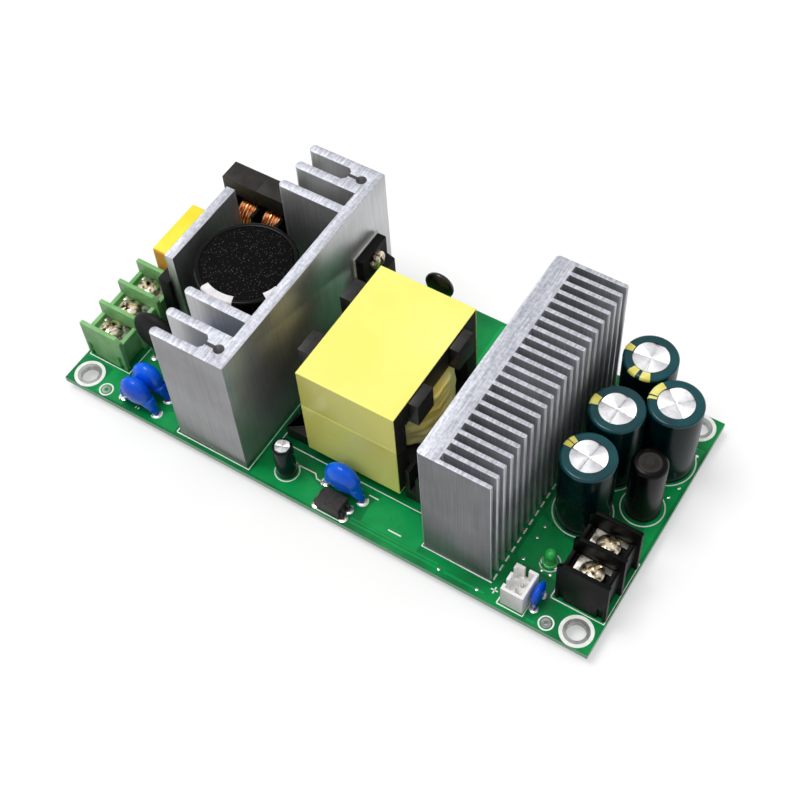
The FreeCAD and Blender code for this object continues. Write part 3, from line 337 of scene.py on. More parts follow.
# %% Moulded and coated finishes
FINISHES = {
    "moulded_black_nylon": ("020202", "070707", 0.30, 0.34, 0.55, 0.02, 0.0, 0.12),
    "moulded_green_nylon": ("6eae66", "94cc88", 1.50, 0.32, 0.50, 0.02, 0.0, 0.35),
    "moulded_phenolic": ("0f0e0d", "242120", 0.40, 0.36, 0.55, 0.02, 0.0, 0.45),
    "moulded_white_nylon": ("f8f5f0", "ffffff", 1.20, 0.35, 0.50, 0.02, 0.0, 0.4),
    "moulded_epoxy_package": ("070707", "121211", 0.25, 0.50, 0.70, 0.03, 0.0, 0.25),
    "dark_grey_epoxy": ("232120", "35322f", 0.25, 0.45, 0.60, 0.03, 0.0, 0.3),
    "sintered_ferrite": ("141412", "23221f", 0.50, 0.45, 0.70, 0.03, 0.0, 0.3),
    "choke_ferrite": ("1d1b18", "2d2a26", 0.60, 0.40, 0.60, 0.03, 0.0, 0.3),
    "polyester_tape": ("faf47c", "feff90", 7.00, 0.20, 0.32, 0.03, 0.06, 0.22),
    "winding_tape": ("fade68", "fff8a8", 2.50, 0.22, 0.40, 0.12, 0.2, 0.4),
    "blue_dipped_epoxy": ("0050dc", "0c70fc", 2.00, 0.16, 0.26, 0.02, 0.2, 0.2),
    "matt_dipped_phenolic": ("060606", "10100f", 0.40, 0.50, 0.70, 0.05, 0.0, 0.3),
    "dark_dipped_epoxy": ("101109", "1e1f14", 1.00, 0.18, 0.34, 0.03, 0.3, 0.4),
    "film_capacitor_case": ("f8e028", "fff44a", 3.00, 0.30, 0.45, 0.02, 0.0, 0.3),
    "black_shrink_sleeve": ("020202", "070707", 2.00, 0.22, 0.36, 0.02, 0.05, 0.12),
    "green_shrink_sleeve": ("001416", "021e21", 3.00, 0.20, 0.32, 0.02, 0.05, 0.12),
    # The rim's lighter teal is a painted highlight on the dark sleeve.
    "sleeve_rim_highlight": ("04383f", "074a50", 2.00, 0.18, 0.28, 0.02, 0.3, 0.2),
    "sleeve_print": ("e2d450", "f4ec8c", 0.60, 0.40, 0.55, 0.01, 0.0, 0.4),
    "stripe_print": ("e4e0e2", "f8f4f6", 0.50, 0.40, 0.55, 0.01, 0.0, 0.4),
    "green_lens": ("28c452", "54e67e", 1.50, 0.20, 0.35, 0.01, 0.2, 0.5),
    "insulating_sheet": ("d5d5d0", "f0f0ec", 0.80, 0.40, 0.60, 0.02, 0.0, 0.4),
    "glazed_chip": ("101012", "1c1c20", 0.30, 0.25, 0.40, 0.01, 0.0, 0.4),
}


def moulded(name, dark, light, grain_mm, smooth, coarse, depth, coat, shine):
    made, tree, shader = surface(name, light, smooth, Coat_Weight=coat, Coat_Roughness=0.08,
                                 Specular_IOR_Level=shine)
    paint(tree, shader, blend(tree, grain(tree, grain_mm * 4, 3.0), dark, light))
    rough(tree, shader, grain(tree, grain_mm * 2), smooth, coarse)
    bump(tree, shader, grain(tree, grain_mm, 3.0), depth, 0.6)
    MATERIALS[name] = made
    return tree, shader


for finish_name, row in FINISHES.items():
    moulded(finish_name, *row)
print("materials", len(MATERIALS))

# %% Painted shade on the film capacitor's front
# The case is yellow, and its front face is painted a deeper orange as shade.
film_tree = MATERIALS["film_capacitor_case"].node_tree
film_shader = film_tree.nodes["Principled BSDF"]
film_normal = add(film_tree, "ShaderNodeNewGeometry").outputs["Normal"]
film_y = add(film_tree, "ShaderNodeSeparateXYZ", {"Vector": film_normal}).outputs["Y"]
film_shaded_front = add(film_tree, "ShaderNodeMath", {0: film_y, 1: -0.7}, operation="LESS_THAN").outputs[0]
film_shade_mix = add(film_tree, "ShaderNodeMix",
               {"Factor": film_shaded_front, "A": film_shader.inputs["Base Color"].links[0].from_socket,
                "B": linear("ffae2e")}, data_type="RGBA")
paint(film_tree, film_shader, film_shade_mix.outputs["Result"])

# %% Speckled insulating disc
# The capacitor's top disc is black fibre sheet with bright specks pressed into it.
speckled, speck_tree, speck_shader = surface("fibre_disc", "0a0a0a", 0.7, Specular_IOR_Level=0.08)
specks = add(speck_tree, "ShaderNodeTexVoronoi", {"Vector": stretched(speck_tree, (1, 1, 1)),
                                                  "Scale": 1 / (0.5 * MM)}).outputs["Distance"]
paint(speck_tree, speck_shader, blend(speck_tree, specks, "84847f", "060606", 0.05, 0.2))
bump(speck_tree, speck_shader, grain(speck_tree, 0.3, 3.0), 0.08, 0.8)
MATERIALS["fibre_disc"] = speckled

# %% [markdown]
# ## Finishing a piece
# Every piece ends the same way: its mesh in place, its object at the origin, one material, the
# body it rides on, and the nodes that it stands for hidden.

# %% Finishing helper
SLOT_OF = {row["node"]: row["material_slot"] for row in frame["record"]["subparts"]}


def finish(name, mesh, material, slot, *nodes):
    piece = in_scene(name, mesh)
    mesh.materials.clear()
    mesh.materials.append(MATERIALS[material])
    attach(piece, "root")
    if nodes:
        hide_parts(*nodes)
    return piece


def smooth_sides(mesh, angle=35):
    mesh.shade_smooth()
    mesh.set_sharp_from_angle(angle=math.radians(angle))
    return mesh


def baked(work, name):
    """The mesh of a bmesh, which is freed."""
    mesh = bpy.data.meshes.new(name)
    work.to_mesh(mesh)
    work.free()
    return mesh


def skin_over(piece, voxel_mm):
    """A remeshing modifier that joins what a piece holds into one skin."""
    skin = piece.modifiers.new("skin", "REMESH")
    skin.mode = "VOXEL"
    skin.voxel_size = voxel_mm * MM


def evaluated(piece):
    """The mesh that a piece's modifiers make, and the piece itself goes."""
    graph = bpy.context.evaluated_depsgraph_get()
    graph.update()
    mesh = bpy.data.meshes.new_from_object(piece.evaluated_get(graph), depsgraph=graph)
    bpy.data.objects.remove(piece)
    return mesh


# %% [markdown]
# ## Softened edges
# A moulded or cut edge is never perfectly sharp, and its small round catches the light. The
# node's mesh stays as it is. A copy is merged, its flat faces joined, and a bevel rounds every
# edge that turns by more than 30 degrees.

# %% Softening helper


def merged_copy(node):
    work = bmesh.new()
    work.from_mesh(frame["nodes"][node].data)
    bmesh.ops.remove_doubles(work, verts=work.verts, dist=0.002 * MM)
    bmesh.ops.dissolve_limit(work, angle_limit=math.radians(0.5), verts=work.verts,
                             edges=work.edges)
    return baked(work, node + "_copy")


def soften(node, material, width_mm=0.12, rounds=2):
    piece = in_scene(node + "_edges", merged_copy(node))
    piece.data.shade_smooth()
    bevel = piece.modifiers.new("edge", "BEVEL")
    bevel.width = width_mm * MM
    bevel.segments = rounds
    bevel.limit_method = "ANGLE"
    bevel.angle_limit = math.radians(30)
    bevel.harden_normals = True
    return finish(node + "_finished", evaluated(piece), material, SLOT_OF[node], node)


SOFTENED = {
    "primary_heatsink": ("extruded_aluminium", 0.15),
    "secondary_heatsink": ("finned_aluminium", 0.1),
    "bridge_heatsink": ("extruded_aluminium", 0.15),
    "input_terminal_housing": ("moulded_green_nylon", 0.15),
    "output_terminal_housing": ("moulded_black_nylon", 0.15),
    "input_terminal_contacts": ("nickel_clamp", 0.08),
    "output_terminal_contacts": ("nickel_clamp", 0.08),
    "film_capacitor": ("film_capacitor_case", 0.2),
    "input_fuse": ("moulded_epoxy_package", 0.2),
    "choke_core_left": ("choke_ferrite", 0.08),
    "choke_core_right": ("choke_ferrite", 0.08),
    "choke_bobbin": ("moulded_black_nylon", 0.1),
    "bridge_rectifier": ("moulded_epoxy_package", 0.15),
    "switching_transistor": ("moulded_epoxy_package", 0.12),
    "output_rectifier_front": ("moulded_epoxy_package", 0.12),
    "output_rectifier_rear": ("moulded_epoxy_package", 0.12),
    "transistor_pad": ("insulating_sheet", 0.04),
    "rectifier_pads": ("insulating_sheet", 0.04),
    "transformer_core_lower": ("sintered_ferrite", 0.25),
    "transformer_core_upper": ("sintered_ferrite", 0.25),
    "transformer_bobbin": ("moulded_phenolic", 0.12),
    "optocoupler": ("dark_grey_epoxy", 0.1),
    "fan_header_housing": ("moulded_white_nylon", 0.12),
    "control_chip": ("moulded_epoxy_package", 0.06),
}
for node, (material, width) in SOFTENED.items():
    soften(node, material, width)
print("softened", len(SOFTENED))

# %% Nodes that keep their own mesh
KEPT = {
    "circuit_board": "mask_over_laminate",
    "bridge_screw": "plated_steel",
    "primary_heatsink_screws": "plated_steel",
    "secondary_heatsink_pins": "tin_solder",
    "transformer_pins": "tin_solder",
    "fan_header_pins": "tin_solder",
    "chip_resistors": "glazed_chip",
}
for node, material in KEPT.items():
    shown = frame["nodes"][node]
    shown.data.materials.clear()
    shown.data.materials.append(MATERIALS[material])

# %% [markdown]
# ## Turned pieces
# Cans, sleeves, eyelets and screws are round, so they are turned: an outline of radius and
# height is spun about an upright axis. A point on the axis becomes a single vertex, so poles
# are closed. A part of a turn, closed at both ends, makes a printed patch on a rim.

# %% Turning helper


def turned(name, outline, centre, steps=64, start=0.0, stop=360.0, sharp=35):
    """Spin a closed outline, in millimetres, counter-clockwise seen with the axis on the left."""
    work = bmesh.new()
    whole = stop - start > 359.9
    count = steps if whole else steps + 1
    columns = []
    for i in range(count):
        turn = math.radians(start + (stop - start) * i / steps)
        column = []
        for j, (radius, height) in enumerate(outline):
            if radius < 1e-6 and i:
                column.append(columns[0][j])
                continue
            spot = Vector((radius * math.cos(turn), radius * math.sin(turn), height)) * MM
            column.append(work.verts.new(centre + spot))
        columns.append(column)
    rows = len(outline)
    for i in range(steps):
        a, b = columns[i], columns[(i + 1) % count]
        for j in range(rows):
            k = (j + 1) % rows
            ring = [a[j], b[j], b[k], a[k]]
            corners = [v for n, v in enumerate(ring) if v not in ring[:n]]
            if len(corners) > 2:
                work.faces.new(corners)
    if not whole:
        work.faces.new(columns[0])
        work.faces.new(list(reversed(columns[-1])))
    bmesh.ops.recalc_face_normals(work, faces=work.faces)
    return smooth_sides(baked(work, name), sharp)


def spun(name, outline, centre, steps, material, slot, *nodes):
    """Turn an outline and finish it as one piece."""
    return finish(name, turned(name, outline, centre, steps), material, slot, *nodes)


def rounded(corner_r, corner_z, radius, steps=5):
    """Points of an outer top corner, from the side up to the top."""
    inner_r, inner_z = corner_r - radius, corner_z - radius
    turns = [math.pi / 2 * i / steps for i in range(steps + 1)]
    return [(inner_r + radius * math.cos(t), inner_z + radius * math.sin(t)) for t in turns]


def foot_of(node):
    """The middle of a node, on the board."""
    spot = middle(node)
    return Vector((spot.x, spot.y, TOP))


# %% [markdown]
# ## Electrolytic capacitors
# Each is a sealed aluminium can in a shrunk sleeve. The sleeve folds over the rim and leaves
# the can's top open, with a cross scored into it that opens if the pressure rises. Here the
# sleeve is turned, the top is a fine polar net that dips along the cross, and the printed
# polarity marks are short turned patches on the rim.

# %% Scored can top
SCORE_WIDE = 0.16


def scored_top(name, centre, radius, z, turn_deg, score=0.09, pillow=0.45, rings=16, steps=96):
    work = bmesh.new()
    turn = math.radians(turn_deg)

    def height(r, t):
        swell = abs(math.sin(2 * (t - turn)))
        groove = score * math.exp(-(swell * r / 2 / SCORE_WIDE) ** 2)
        return z - groove + pillow * (swell - 0.6) * r / radius

    hub = work.verts.new(centre + Vector((0, 0, height(0, 0))) * MM)
    last = None
    for i in range(1, rings + 1):
        r = radius * i / rings
        row = []
        for j in range(steps):
            t = 2 * math.pi * j / steps
            spot = Vector((r * math.cos(t), r * math.sin(t), height(r, t))) * MM
            row.append(work.verts.new(centre + spot))
        for j in range(steps):
            k = (j + 1) % steps
            if last is None:
                work.faces.new((hub, row[j], row[k]))
            else:
                work.faces.new((last[j], row[j], row[k], last[k]))
        last = row
    skirt = [work.verts.new(v.co - Vector((0, 0, 1.0 * MM))) for v in last]
    for j in range(steps):
        k = (j + 1) % steps
        work.faces.new((last[j], skirt[j], skirt[k], last[k]))
    work.faces.new(list(reversed(skirt)))
    return smooth_sides(baked(work, name), 50)


# %% Sleeves, tops and marks
RIM_FOLD = 2.25
SLEEVE_LIP = 0.35
# Marks on each rim as start and stop angles, and the turn of the scored cross.
OUTPUT_CANS = {
    "a": ([(-118, -98), (-88, -66), (168, 188)], -84),
    "b": ([(146, 186), (190, 198)], 48),
    "c": ([(168, 197)], -3),
    "d": ([(150, 163), (166, 180)], -8),
}


def sleeve_outline(radius, tall, fold, lip):
    return ([(radius - 0.25, 0), (radius, 0.3)]
            + [(radius - 0.06, 1.0), (radius, 1.5)]
            + rounded(radius, tall, 0.7)
            + [(radius - fold + 0.15, tall - 0.05), (radius - fold, tall - 0.15)]
            + [(radius - fold, tall - lip - 0.4), (0, tall - lip - 0.4), (0, 0)])


def rim_mark(name, centre, radius, tall, fold, start, stop, drop, material, slot, raise_mm=0.03):
    outer = [(radius + raise_mm, tall - drop), (radius + raise_mm, tall - 0.7)]
    outer += rounded(radius + raise_mm, tall + raise_mm, 0.72)[1:]
    outer += [(radius - fold + 0.2, tall + raise_mm)]
    inner = [(r - 2 * raise_mm, z - 2 * raise_mm) for r, z in reversed(outer)]
    steps = max(3, int((stop - start) / 3))
    return finish(name, turned(name, outer + inner, centre, steps, start, stop), material, slot)


for letter, (marks, cross) in OUTPUT_CANS.items():
    node = "output_capacitor_" + letter
    centre = foot_of(node)
    tall, radius = height_of(node), half_width(node)
    outline = sleeve_outline(radius, tall, RIM_FOLD, SLEEVE_LIP)
    spun(node + "_sleeve", outline, centre, 64, "green_shrink_sleeve", "green_sleeve", node)
    # Each rim is a thin shell over the sleeve's fold, in a lighter teal as a painted highlight.
    rim = [(radius + 0.02, tall - 0.75)] + rounded(radius + 0.02, tall + 0.02, 0.7)
    rim += [(radius - RIM_FOLD + 0.05, tall - 0.02), (radius - RIM_FOLD + 0.05, tall - 0.1)]
    rim += [(radius - 0.5, tall - 0.75)]
    spun(node + "_rim", rim, centre, 64, "sleeve_rim_highlight", "green_sleeve")
    finish(node + "_top", scored_top(node + "_top", centre, radius - RIM_FOLD, tall - 0.2, cross),
           "can_aluminium", "plain_aluminium")
    for number, (start, stop) in enumerate(marks):
        rim_mark("%s_mark_%d" % (node, number), centre, radius, tall, RIM_FOLD, start, stop,
                 0.9, "sleeve_print", "green_sleeve")
print("output capacitors", len(OUTPUT_CANS))

# %% Bulk capacitor
# Its top carries a pressed fibre disc, and two bright stripes run over the rim and down.
bulk = "bulk_capacitor"
bulk_centre = foot_of(bulk)
bulk_tall, bulk_radius = height_of(bulk), half_width(bulk)
BULK_FOLD = 1.3
outline = sleeve_outline(bulk_radius, bulk_tall, BULK_FOLD, 0.5)
spun("bulk_capacitor_sleeve", outline, bulk_centre, 96, "black_shrink_sleeve", "black_sleeve",
     bulk)
disc_radius = bulk_radius - BULK_FOLD - 0.05
disc_outline = [(0, bulk_tall - 1.0), (disc_radius, bulk_tall - 1.0)]
disc_outline += rounded(disc_radius, bulk_tall - 0.1, 0.3, 3) + [(0, bulk_tall - 0.1)]
spun("bulk_capacitor_disc", disc_outline, bulk_centre, 96, "fibre_disc", "black_sleeve")
for number, (start, stop) in enumerate(((-114, -71), (-33, -14))):
    rim_mark("bulk_capacitor_stripe_%d" % number, bulk_centre, bulk_radius, bulk_tall,
             BULK_FOLD + 1.0, start, stop, 24.0, "stripe_print", "black_sleeve", 0.04)

# %% Control capacitor, rod inductor sleeve and lamp
small = foot_of("control_capacitor")
small_tall, small_radius = height_of("control_capacitor"), half_width("control_capacitor")
outline = sleeve_outline(small_radius, small_tall, 0.7, 0.2)
spun("control_capacitor_sleeve", outline, small, 48, "green_shrink_sleeve", "black_sleeve",
     "control_capacitor")
finish("control_capacitor_top", scored_top("control_top", small, small_radius - 0.6,
                                           small_tall - 0.05, 20, 0.03, 0.12, 8, 48),
       "can_aluminium", "plain_aluminium")
low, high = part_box("rod_inductor_tube")
tube_radius = half_width("rod_inductor_tube")
tube_tall = (high.z - low.z) / MM
core_radius = half_width("rod_inductor_core")
tube_outline = [(core_radius + 0.05, 0.0), (tube_radius - 0.3, 0.0), (tube_radius, 0.5)]
tube_outline += [(tube_radius - 0.25, 3.0), (tube_radius, 6.0), (tube_radius - 0.15, 13.0)]
tube_outline += rounded(tube_radius - 0.1, tube_tall, 1.3)
tube_outline += [(core_radius + 0.5, tube_tall - 0.15), (core_radius + 0.05, tube_tall - 0.5)]
spun("rod_inductor_sleeve", tube_outline, foot_of("rod_inductor_tube"), 64,
     "black_shrink_sleeve", "black_sleeve", "rod_inductor_tube")
core_tall = height_of("rod_inductor_core")
core_outline = [(0, 0.3), (core_radius, 0.3)] + rounded(core_radius, core_tall, 0.35, 3)
PRESSED_RING = ((0.62, 0), (0.56, 0.14), (0.44, 0.14), (0.38, 0), (0, 0))
core_outline += [(core_radius * share, core_tall - sunk) for share, sunk in PRESSED_RING]
spun("rod_inductor_ferrite", core_outline, foot_of("rod_inductor_core"), 48, "choke_ferrite",
     SLOT_OF["rod_inductor_core"], "rod_inductor_core")
lamp_tall = height_of("indicator_lamp")
lamp_radius = 1.5
lamp_outline = [(0, 0), (1.9, 0), (1.9, 0.7), (1.8, 0.8), (lamp_radius, 0.85)]
lamp_outline += rounded(lamp_radius, lamp_tall, lamp_radius, 8)
spun("indicator_lamp_lens", lamp_outline[:-1] + [(0, lamp_tall)], foot_of("indicator_lamp"), 40,
     "green_lens", "green_lens", "indicator_lamp")

# %% [markdown]
# ## Dipped discs
# Disc capacitors and the thermistor are dipped in liquid resin, which draws a soft lens over
# the disc and runs a little way down the two leads. A lens and two tapering legs are joined by
# remeshing them into one skin and smoothing it, as the resin does.

# %% Dipped disc helper
LENS_RINGS = 10
LENS_POWER = 2.2


def lens(name, radius, thick):
    """A thick lens standing in the XZ plane, spun about its own axis and then set upright."""
    shares = [math.sin(math.pi / 2 * i / LENS_RINGS) for i in range(LENS_RINGS)] + [1.0]
    back = [(radius * s, thick / 2 * (1 - s ** LENS_POWER) ** 0.5) for s in shares]
    mesh = turned(name, [(r, -z) for r, z in back] + back[-2::-1], ORIGIN, 40)
    mesh.transform(Matrix.Rotation(math.radians(90), 4, "X"))
    return mesh


def tapered(work, start, stop, wide, narrow, steps=16):
    """A closed round bar between two points."""
    axis = (stop - start).to_track_quat("Z", "Y")
    length = (stop - start).length
    bar = bmesh.ops.create_cone(work, cap_ends=True, segments=steps, radius1=wide,
                                radius2=narrow, depth=length)
    bmesh.ops.transform(work, matrix=Matrix.Translation((start + stop) / 2)
                        @ axis.to_matrix().to_4x4(), verts=bar["verts"])


def dipped(node, material, slot, disc_radius, thick, rise, leg, voxel=0.22, turn=0):
    """A leg is its start and end, each as a distance out and a height, then its two radii."""
    name = node + "_coating"
    base = foot_of(node)
    disc = lens(name, disc_radius, thick)
    disc.transform(Matrix.Translation(base + Vector((0, 0, rise)) * MM))
    work = bmesh.new()
    work.from_mesh(disc)
    (start_out, start_up), (stop_out, stop_up), wide, narrow = leg
    for side in (-1, 1):
        start = base + Vector((start_out * side, 0, start_up)) * MM
        stop = base + Vector((stop_out * side, 0, stop_up)) * MM
        tapered(work, start, stop, wide * MM, narrow * MM)
    bmesh.ops.rotate(work, cent=base, matrix=Matrix.Rotation(math.radians(turn), 3, "Z"),
                     verts=work.verts)
    piece = in_scene(name + "_raw", baked(work, name))
    skin_over(piece, voxel)
    soft = piece.modifiers.new("soft", "SMOOTH")
    soft.factor = 0.5
    soft.iterations = 8
    made = evaluated(piece)
    made.shade_smooth()
    return finish(name, made, material, slot, node)


# %% Blue safety capacitors
SAFETY_RADIUS = {"safety_capacitor_front": 4.3, "safety_capacitor_rear": 4.3,
                 "safety_capacitor_link": 4.75}
for node, disc_radius in SAFETY_RADIUS.items():
    dipped(node, "blue_dipped_epoxy", "blue_coating", disc_radius, 5.0, 6.3,
           ((3.0, 4.6), (5.0, 0.4), 2.0, 0.85))
dipped("noise_capacitor", "blue_dipped_epoxy", "blue_coating", 3.05, 2.1, 4.2,
       ((2.0, 2.8), (2.0, 0.8), 0.7, 0.4), 0.18, 90)

# %% Thermistor and snubber
# Each row: finish, how much wider than its node the coating is, its legs, and the voxel size.
RAISED_DISCS = {
    "inrush_thermistor": ("matt_dipped_phenolic", 0.1, ((3.75, 7.6), (3.75, 4.6), 1.0, 0.5), 0.3),
    "snubber_capacitor": ("dark_dipped_epoxy", 0.0, ((2.5, 8.5), (2.5, 5.8), 0.8, 0.45), 0.22),
}
for node, (material, spare, leg, voxel) in RAISED_DISCS.items():
    low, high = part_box(node)
    dipped(node, material, "thermistor_coating", half_width(node) + spare,
           (high.y - low.y) / MM, height_of(node) - half_width(node), leg, voxel)
print("dipped discs", len(SAFETY_RADIUS) + 1 + len(RAISED_DISCS))

# %% [markdown]
# ## Geometry Nodes that follow a path or fill a row
# What repeats or follows a line is a job for Geometry Nodes: a tree is written once, with named
# inputs for its sizes, and run on each set of points or lines. Its result becomes a plain
# mesh, because the finished part carries no live trees.

# %% Tree helpers
KINDS = {float: "NodeSocketFloat", int: "NodeSocketInt"}


def new_tree(name, sizes, objects=()):
    """An empty tree with named inputs; sizes maps names to starting values."""
    tree = bpy.data.node_groups.new(name, "GeometryNodeTree")
    tree.interface.new_socket("Geometry", in_out="INPUT", socket_type="NodeSocketGeometry")
    for label, value in sizes.items():
        socket = tree.interface.new_socket(label, in_out="INPUT", socket_type=KINDS[type(value)])
        socket.default_value = value
    for label in objects:
        tree.interface.new_socket(label, in_out="INPUT", socket_type="NodeSocketObject")
    tree.interface.new_socket("Material", in_out="INPUT", socket_type="NodeSocketMaterial")
    tree.interface.new_socket("Geometry", in_out="OUTPUT", socket_type="NodeSocketGeometry")
    return tree, add(tree, "NodeGroupInput").outputs


def close_tree(tree, geometry, material):
    real = add(tree, "GeometryNodeRealizeInstances", {"Geometry": geometry})
    coloured = add(tree, "GeometryNodeSetMaterial", {"Geometry": real.outputs["Geometry"],
                                                     "Material": material})
    add(tree, "NodeGroupOutput", {"Geometry": coloured.outputs["Geometry"]})


def run_tree(tree, name, source, material, slot, values, *nodes):
    """Run a tree on a mesh or curve and finish the result as one piece."""
    carrier = in_scene(name + "_source", source)
    work = carrier.modifiers.new("tree", "NODES")
    work.node_group = tree
    values = dict(values, Material=MATERIALS[material])
    for item in tree.interface.items_tree:
        if item.in_out == "INPUT" and item.name in values:
            work[item.identifier] = values[item.name]
    mesh = smooth_sides(evaluated(carrier))
    print(name, len(mesh.polygons), "faces")
    return finish(name, mesh, material, slot, *nodes)


def points_mesh(name, spots):
    mesh = bpy.data.meshes.new(name)
    mesh.from_pydata([tuple(s) for s in spots], [], [])
    return mesh


def lines(name, paths, closed=False):
    """Straight runs through the points of each path, as one curve."""
    curve = bpy.data.curves.new(name, "CURVE")
    curve.dimensions = "3D"
    for path in paths:
        spline = curve.splines.new("POLY")
        spline.points.add(len(path) - 1)
        for point, spot in zip(spline.points, path):
            point.co = (*spot, 1)
        spline.use_cyclic_u = closed
    return curve


def swept(tree, path, section, **sizes):
    """A closed section swept along a path, inside a tree."""
    profile = add(tree, section, sizes)
    solid = add(tree, "GeometryNodeCurveToMesh",
                {"Curve": path, "Profile Curve": profile.outputs["Curve"], "Fill Caps": True})
    return solid.outputs["Mesh"]


def swept_round(tree, path, diameter, sides):
    radius = add(tree, "ShaderNodeMath", {0: diameter, 1: 0.5}, operation="MULTIPLY").outputs[0]
    return swept(tree, path, "GeometryNodeCurvePrimitiveCircle", Resolution=sides, Radius=radius)


# %% Trees: a flat strip and a round wire along a line
strip_tree, strip_in = new_tree("flat_strip", {"Width": 0.0002, "Thickness": 0.00003})
strip_solid = swept(strip_tree, strip_in["Geometry"], "GeometryNodeCurvePrimitiveQuadrilateral",
                    Width=strip_in["Width"], Height=strip_in["Thickness"])
close_tree(strip_tree, strip_solid, strip_in["Material"])
wire_tree, wire_in = new_tree("round_wire", {"Diameter": 0.0006, "Sides": 10})
wire_solid = swept_round(wire_tree, wire_in["Geometry"], wire_in["Diameter"], wire_in["Sides"])
close_tree(wire_tree, wire_solid, wire_in["Material"])


def strips(name, paths, width_mm, thick_mm=0.024, material="screen_ink"):
    return run_tree(strip_tree, name, lines(name, paths), material, "board_laminate",
                    {"Width": width_mm * MM, "Thickness": thick_mm * MM})


# %% Tree: one shape set on many points
set_tree, set_in = new_tree("set_on_points", {"Spin": 0.0, "Seed": 7}, ["Shape"])
set_shape = add(set_tree, "GeometryNodeObjectInfo", {"Object": set_in["Shape"]})
set_spin = add(set_tree, "FunctionNodeRandomValue", {"Seed": set_in["Seed"]},
               data_type="FLOAT")
set_tree.links.new(set_in["Spin"], set_spin.inputs[3])
set_turn = add(set_tree, "ShaderNodeCombineXYZ", {"Z": set_spin.outputs[1]})
set_copies = add(set_tree, "GeometryNodeInstanceOnPoints",
                 {"Points": set_in["Geometry"], "Instance": set_shape.outputs["Geometry"],
                  "Rotation": set_turn.outputs["Vector"]})
close_tree(set_tree, set_copies.outputs["Instances"], set_in["Material"])


def set_on_points(name, shape_mesh, spots, material, slot, spin=0.0, *nodes):
    shape = in_scene(name + "_shape", shape_mesh)
    piece = run_tree(set_tree, name, points_mesh(name, spots), material, slot,
                     {"Shape": shape, "Spin": spin}, *nodes)
    bpy.data.objects.remove(shape)
    return piece


# %% [markdown]
# ## Solder joints
# Each lead passes through its hole and ends in a joint on the underside: a bright fillet that
# climbs the lead. The joints stand where the leads do, so their places are read from the nodes,
# as the clusters of points that reach lowest below the board.

# %% Lead tips read from the frame
LEAST_DEPTH = 1.5
LEAD_REACH, TAB_REACH = 1.4, 3.0


def lead_tips(nodes, reach_mm):
    spots = []
    for node in nodes:
        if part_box(node)[0].z > BOARD_LOW.z - LEAST_DEPTH * MM or node.endswith("_screws"):
            continue
        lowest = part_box(node)[0].z
        for vert in frame["nodes"][node].data.vertices:
            if vert.co.z < lowest + 0.01 * MM:
                flat = Vector((vert.co.x, vert.co.y, 0))
                near = [s for s in spots if (s[0] / s[1] - flat).length < reach_mm * MM]
                if near:
                    near[0][0] += flat
                    near[0][1] += 1
                else:
                    spots.append([flat.copy(), 1])
    return [s[0] / s[1] for s in spots]


WIDE_TABS = ("bridge_heatsink", "secondary_heatsink_pins")
TIPS = lead_tips([node for node in frame["nodes"] if node not in WIDE_TABS], LEAD_REACH)
WIDE_TIPS = lead_tips(WIDE_TABS, TAB_REACH)
print("leads", len(TIPS), "heatsink tabs", len(WIDE_TIPS))

# %% Joints below and pads above
FILLET = [(0, -0.02), (1.25, -0.02), (1.2, -0.12), (0.85, -0.35), (0.6, -0.8), (0.48, -1.4),
          (0.34, -1.75), (0.34, -1.98), (0, -1.98)]
FULL_SPIN = 6.28
PAD_RING = [(0, 0.0), (1.15, 0.0), (1.15, 0.035), (0.95, 0.1), (0.6, 0.16), (0, 0.18)]
for name, tips, broader, steps in (("solder_joints", TIPS, 1.0, 20),
                                   ("heatsink_solder_joints", WIDE_TIPS, 2.0, 28)):
    fillet_mesh = turned("fillet", [(r * broader, z) for r, z in reversed(FILLET)], ORIGIN, steps)
    set_on_points(name, fillet_mesh, [(t.x, t.y, BOARD_LOW.z) for t in tips],
                  "tin_solder", "tinned_metal", FULL_SPIN)
set_on_points("top_pads", turned("pad", PAD_RING, ORIGIN, 20), [(t.x, t.y, TOP) for t in TIPS],
              "tin_solder", "tinned_metal")

# %% Bare leads of the raised discs
# The thermistor and the snubber stand high, so their tinned wires show below the coating.
LEAD_WIRE = 0.7


def bare_leads(node, pitch, bare_top):
    spot = middle(node)
    runs = [[Vector((spot.x + pitch / 2 * side * MM, spot.y, z))
             for z in (BOARD_LOW.z - 1.9 * MM, TOP + bare_top * MM)] for side in (-1, 1)]
    return run_tree(wire_tree, node + "_leads", lines(node, runs), "tin_solder", "tinned_metal",
                    {"Diameter": LEAD_WIRE * MM})


bare_leads("inrush_thermistor", 7.5, 5.4)
bare_leads("snubber_capacitor", 5.0, 6.6)

# %% [markdown]
# ## Plated holes
# The four mounting holes and two small test holes are lined with plated copper: one eyelet of
# metal, broad on both faces, with a ring of white ink round it on top.

# %% Eyelets and their ink rings
HOLES_X, HOLES_Y = 4.8, 4.0
board_long = (BOARD_HIGH.x - BOARD_LOW.x) / MM
board_wide = (BOARD_HIGH.y - BOARD_LOW.y) / MM
board_thick = (BOARD_HIGH.z - BOARD_LOW.z) / MM


def eyelet(hole_radius, pad_radius):
    skin, low = 0.04, -board_thick
    return [(hole_radius - skin, skin), (hole_radius - skin, low - skin),
            (pad_radius, low - skin), (pad_radius, low), (hole_radius, low), (hole_radius, 0),
            (pad_radius, 0), (pad_radius, skin)]


def flat_ring(inner, outer, thick=0.025):
    return [(inner, 0), (outer, 0), (outer, thick), (inner, thick)]


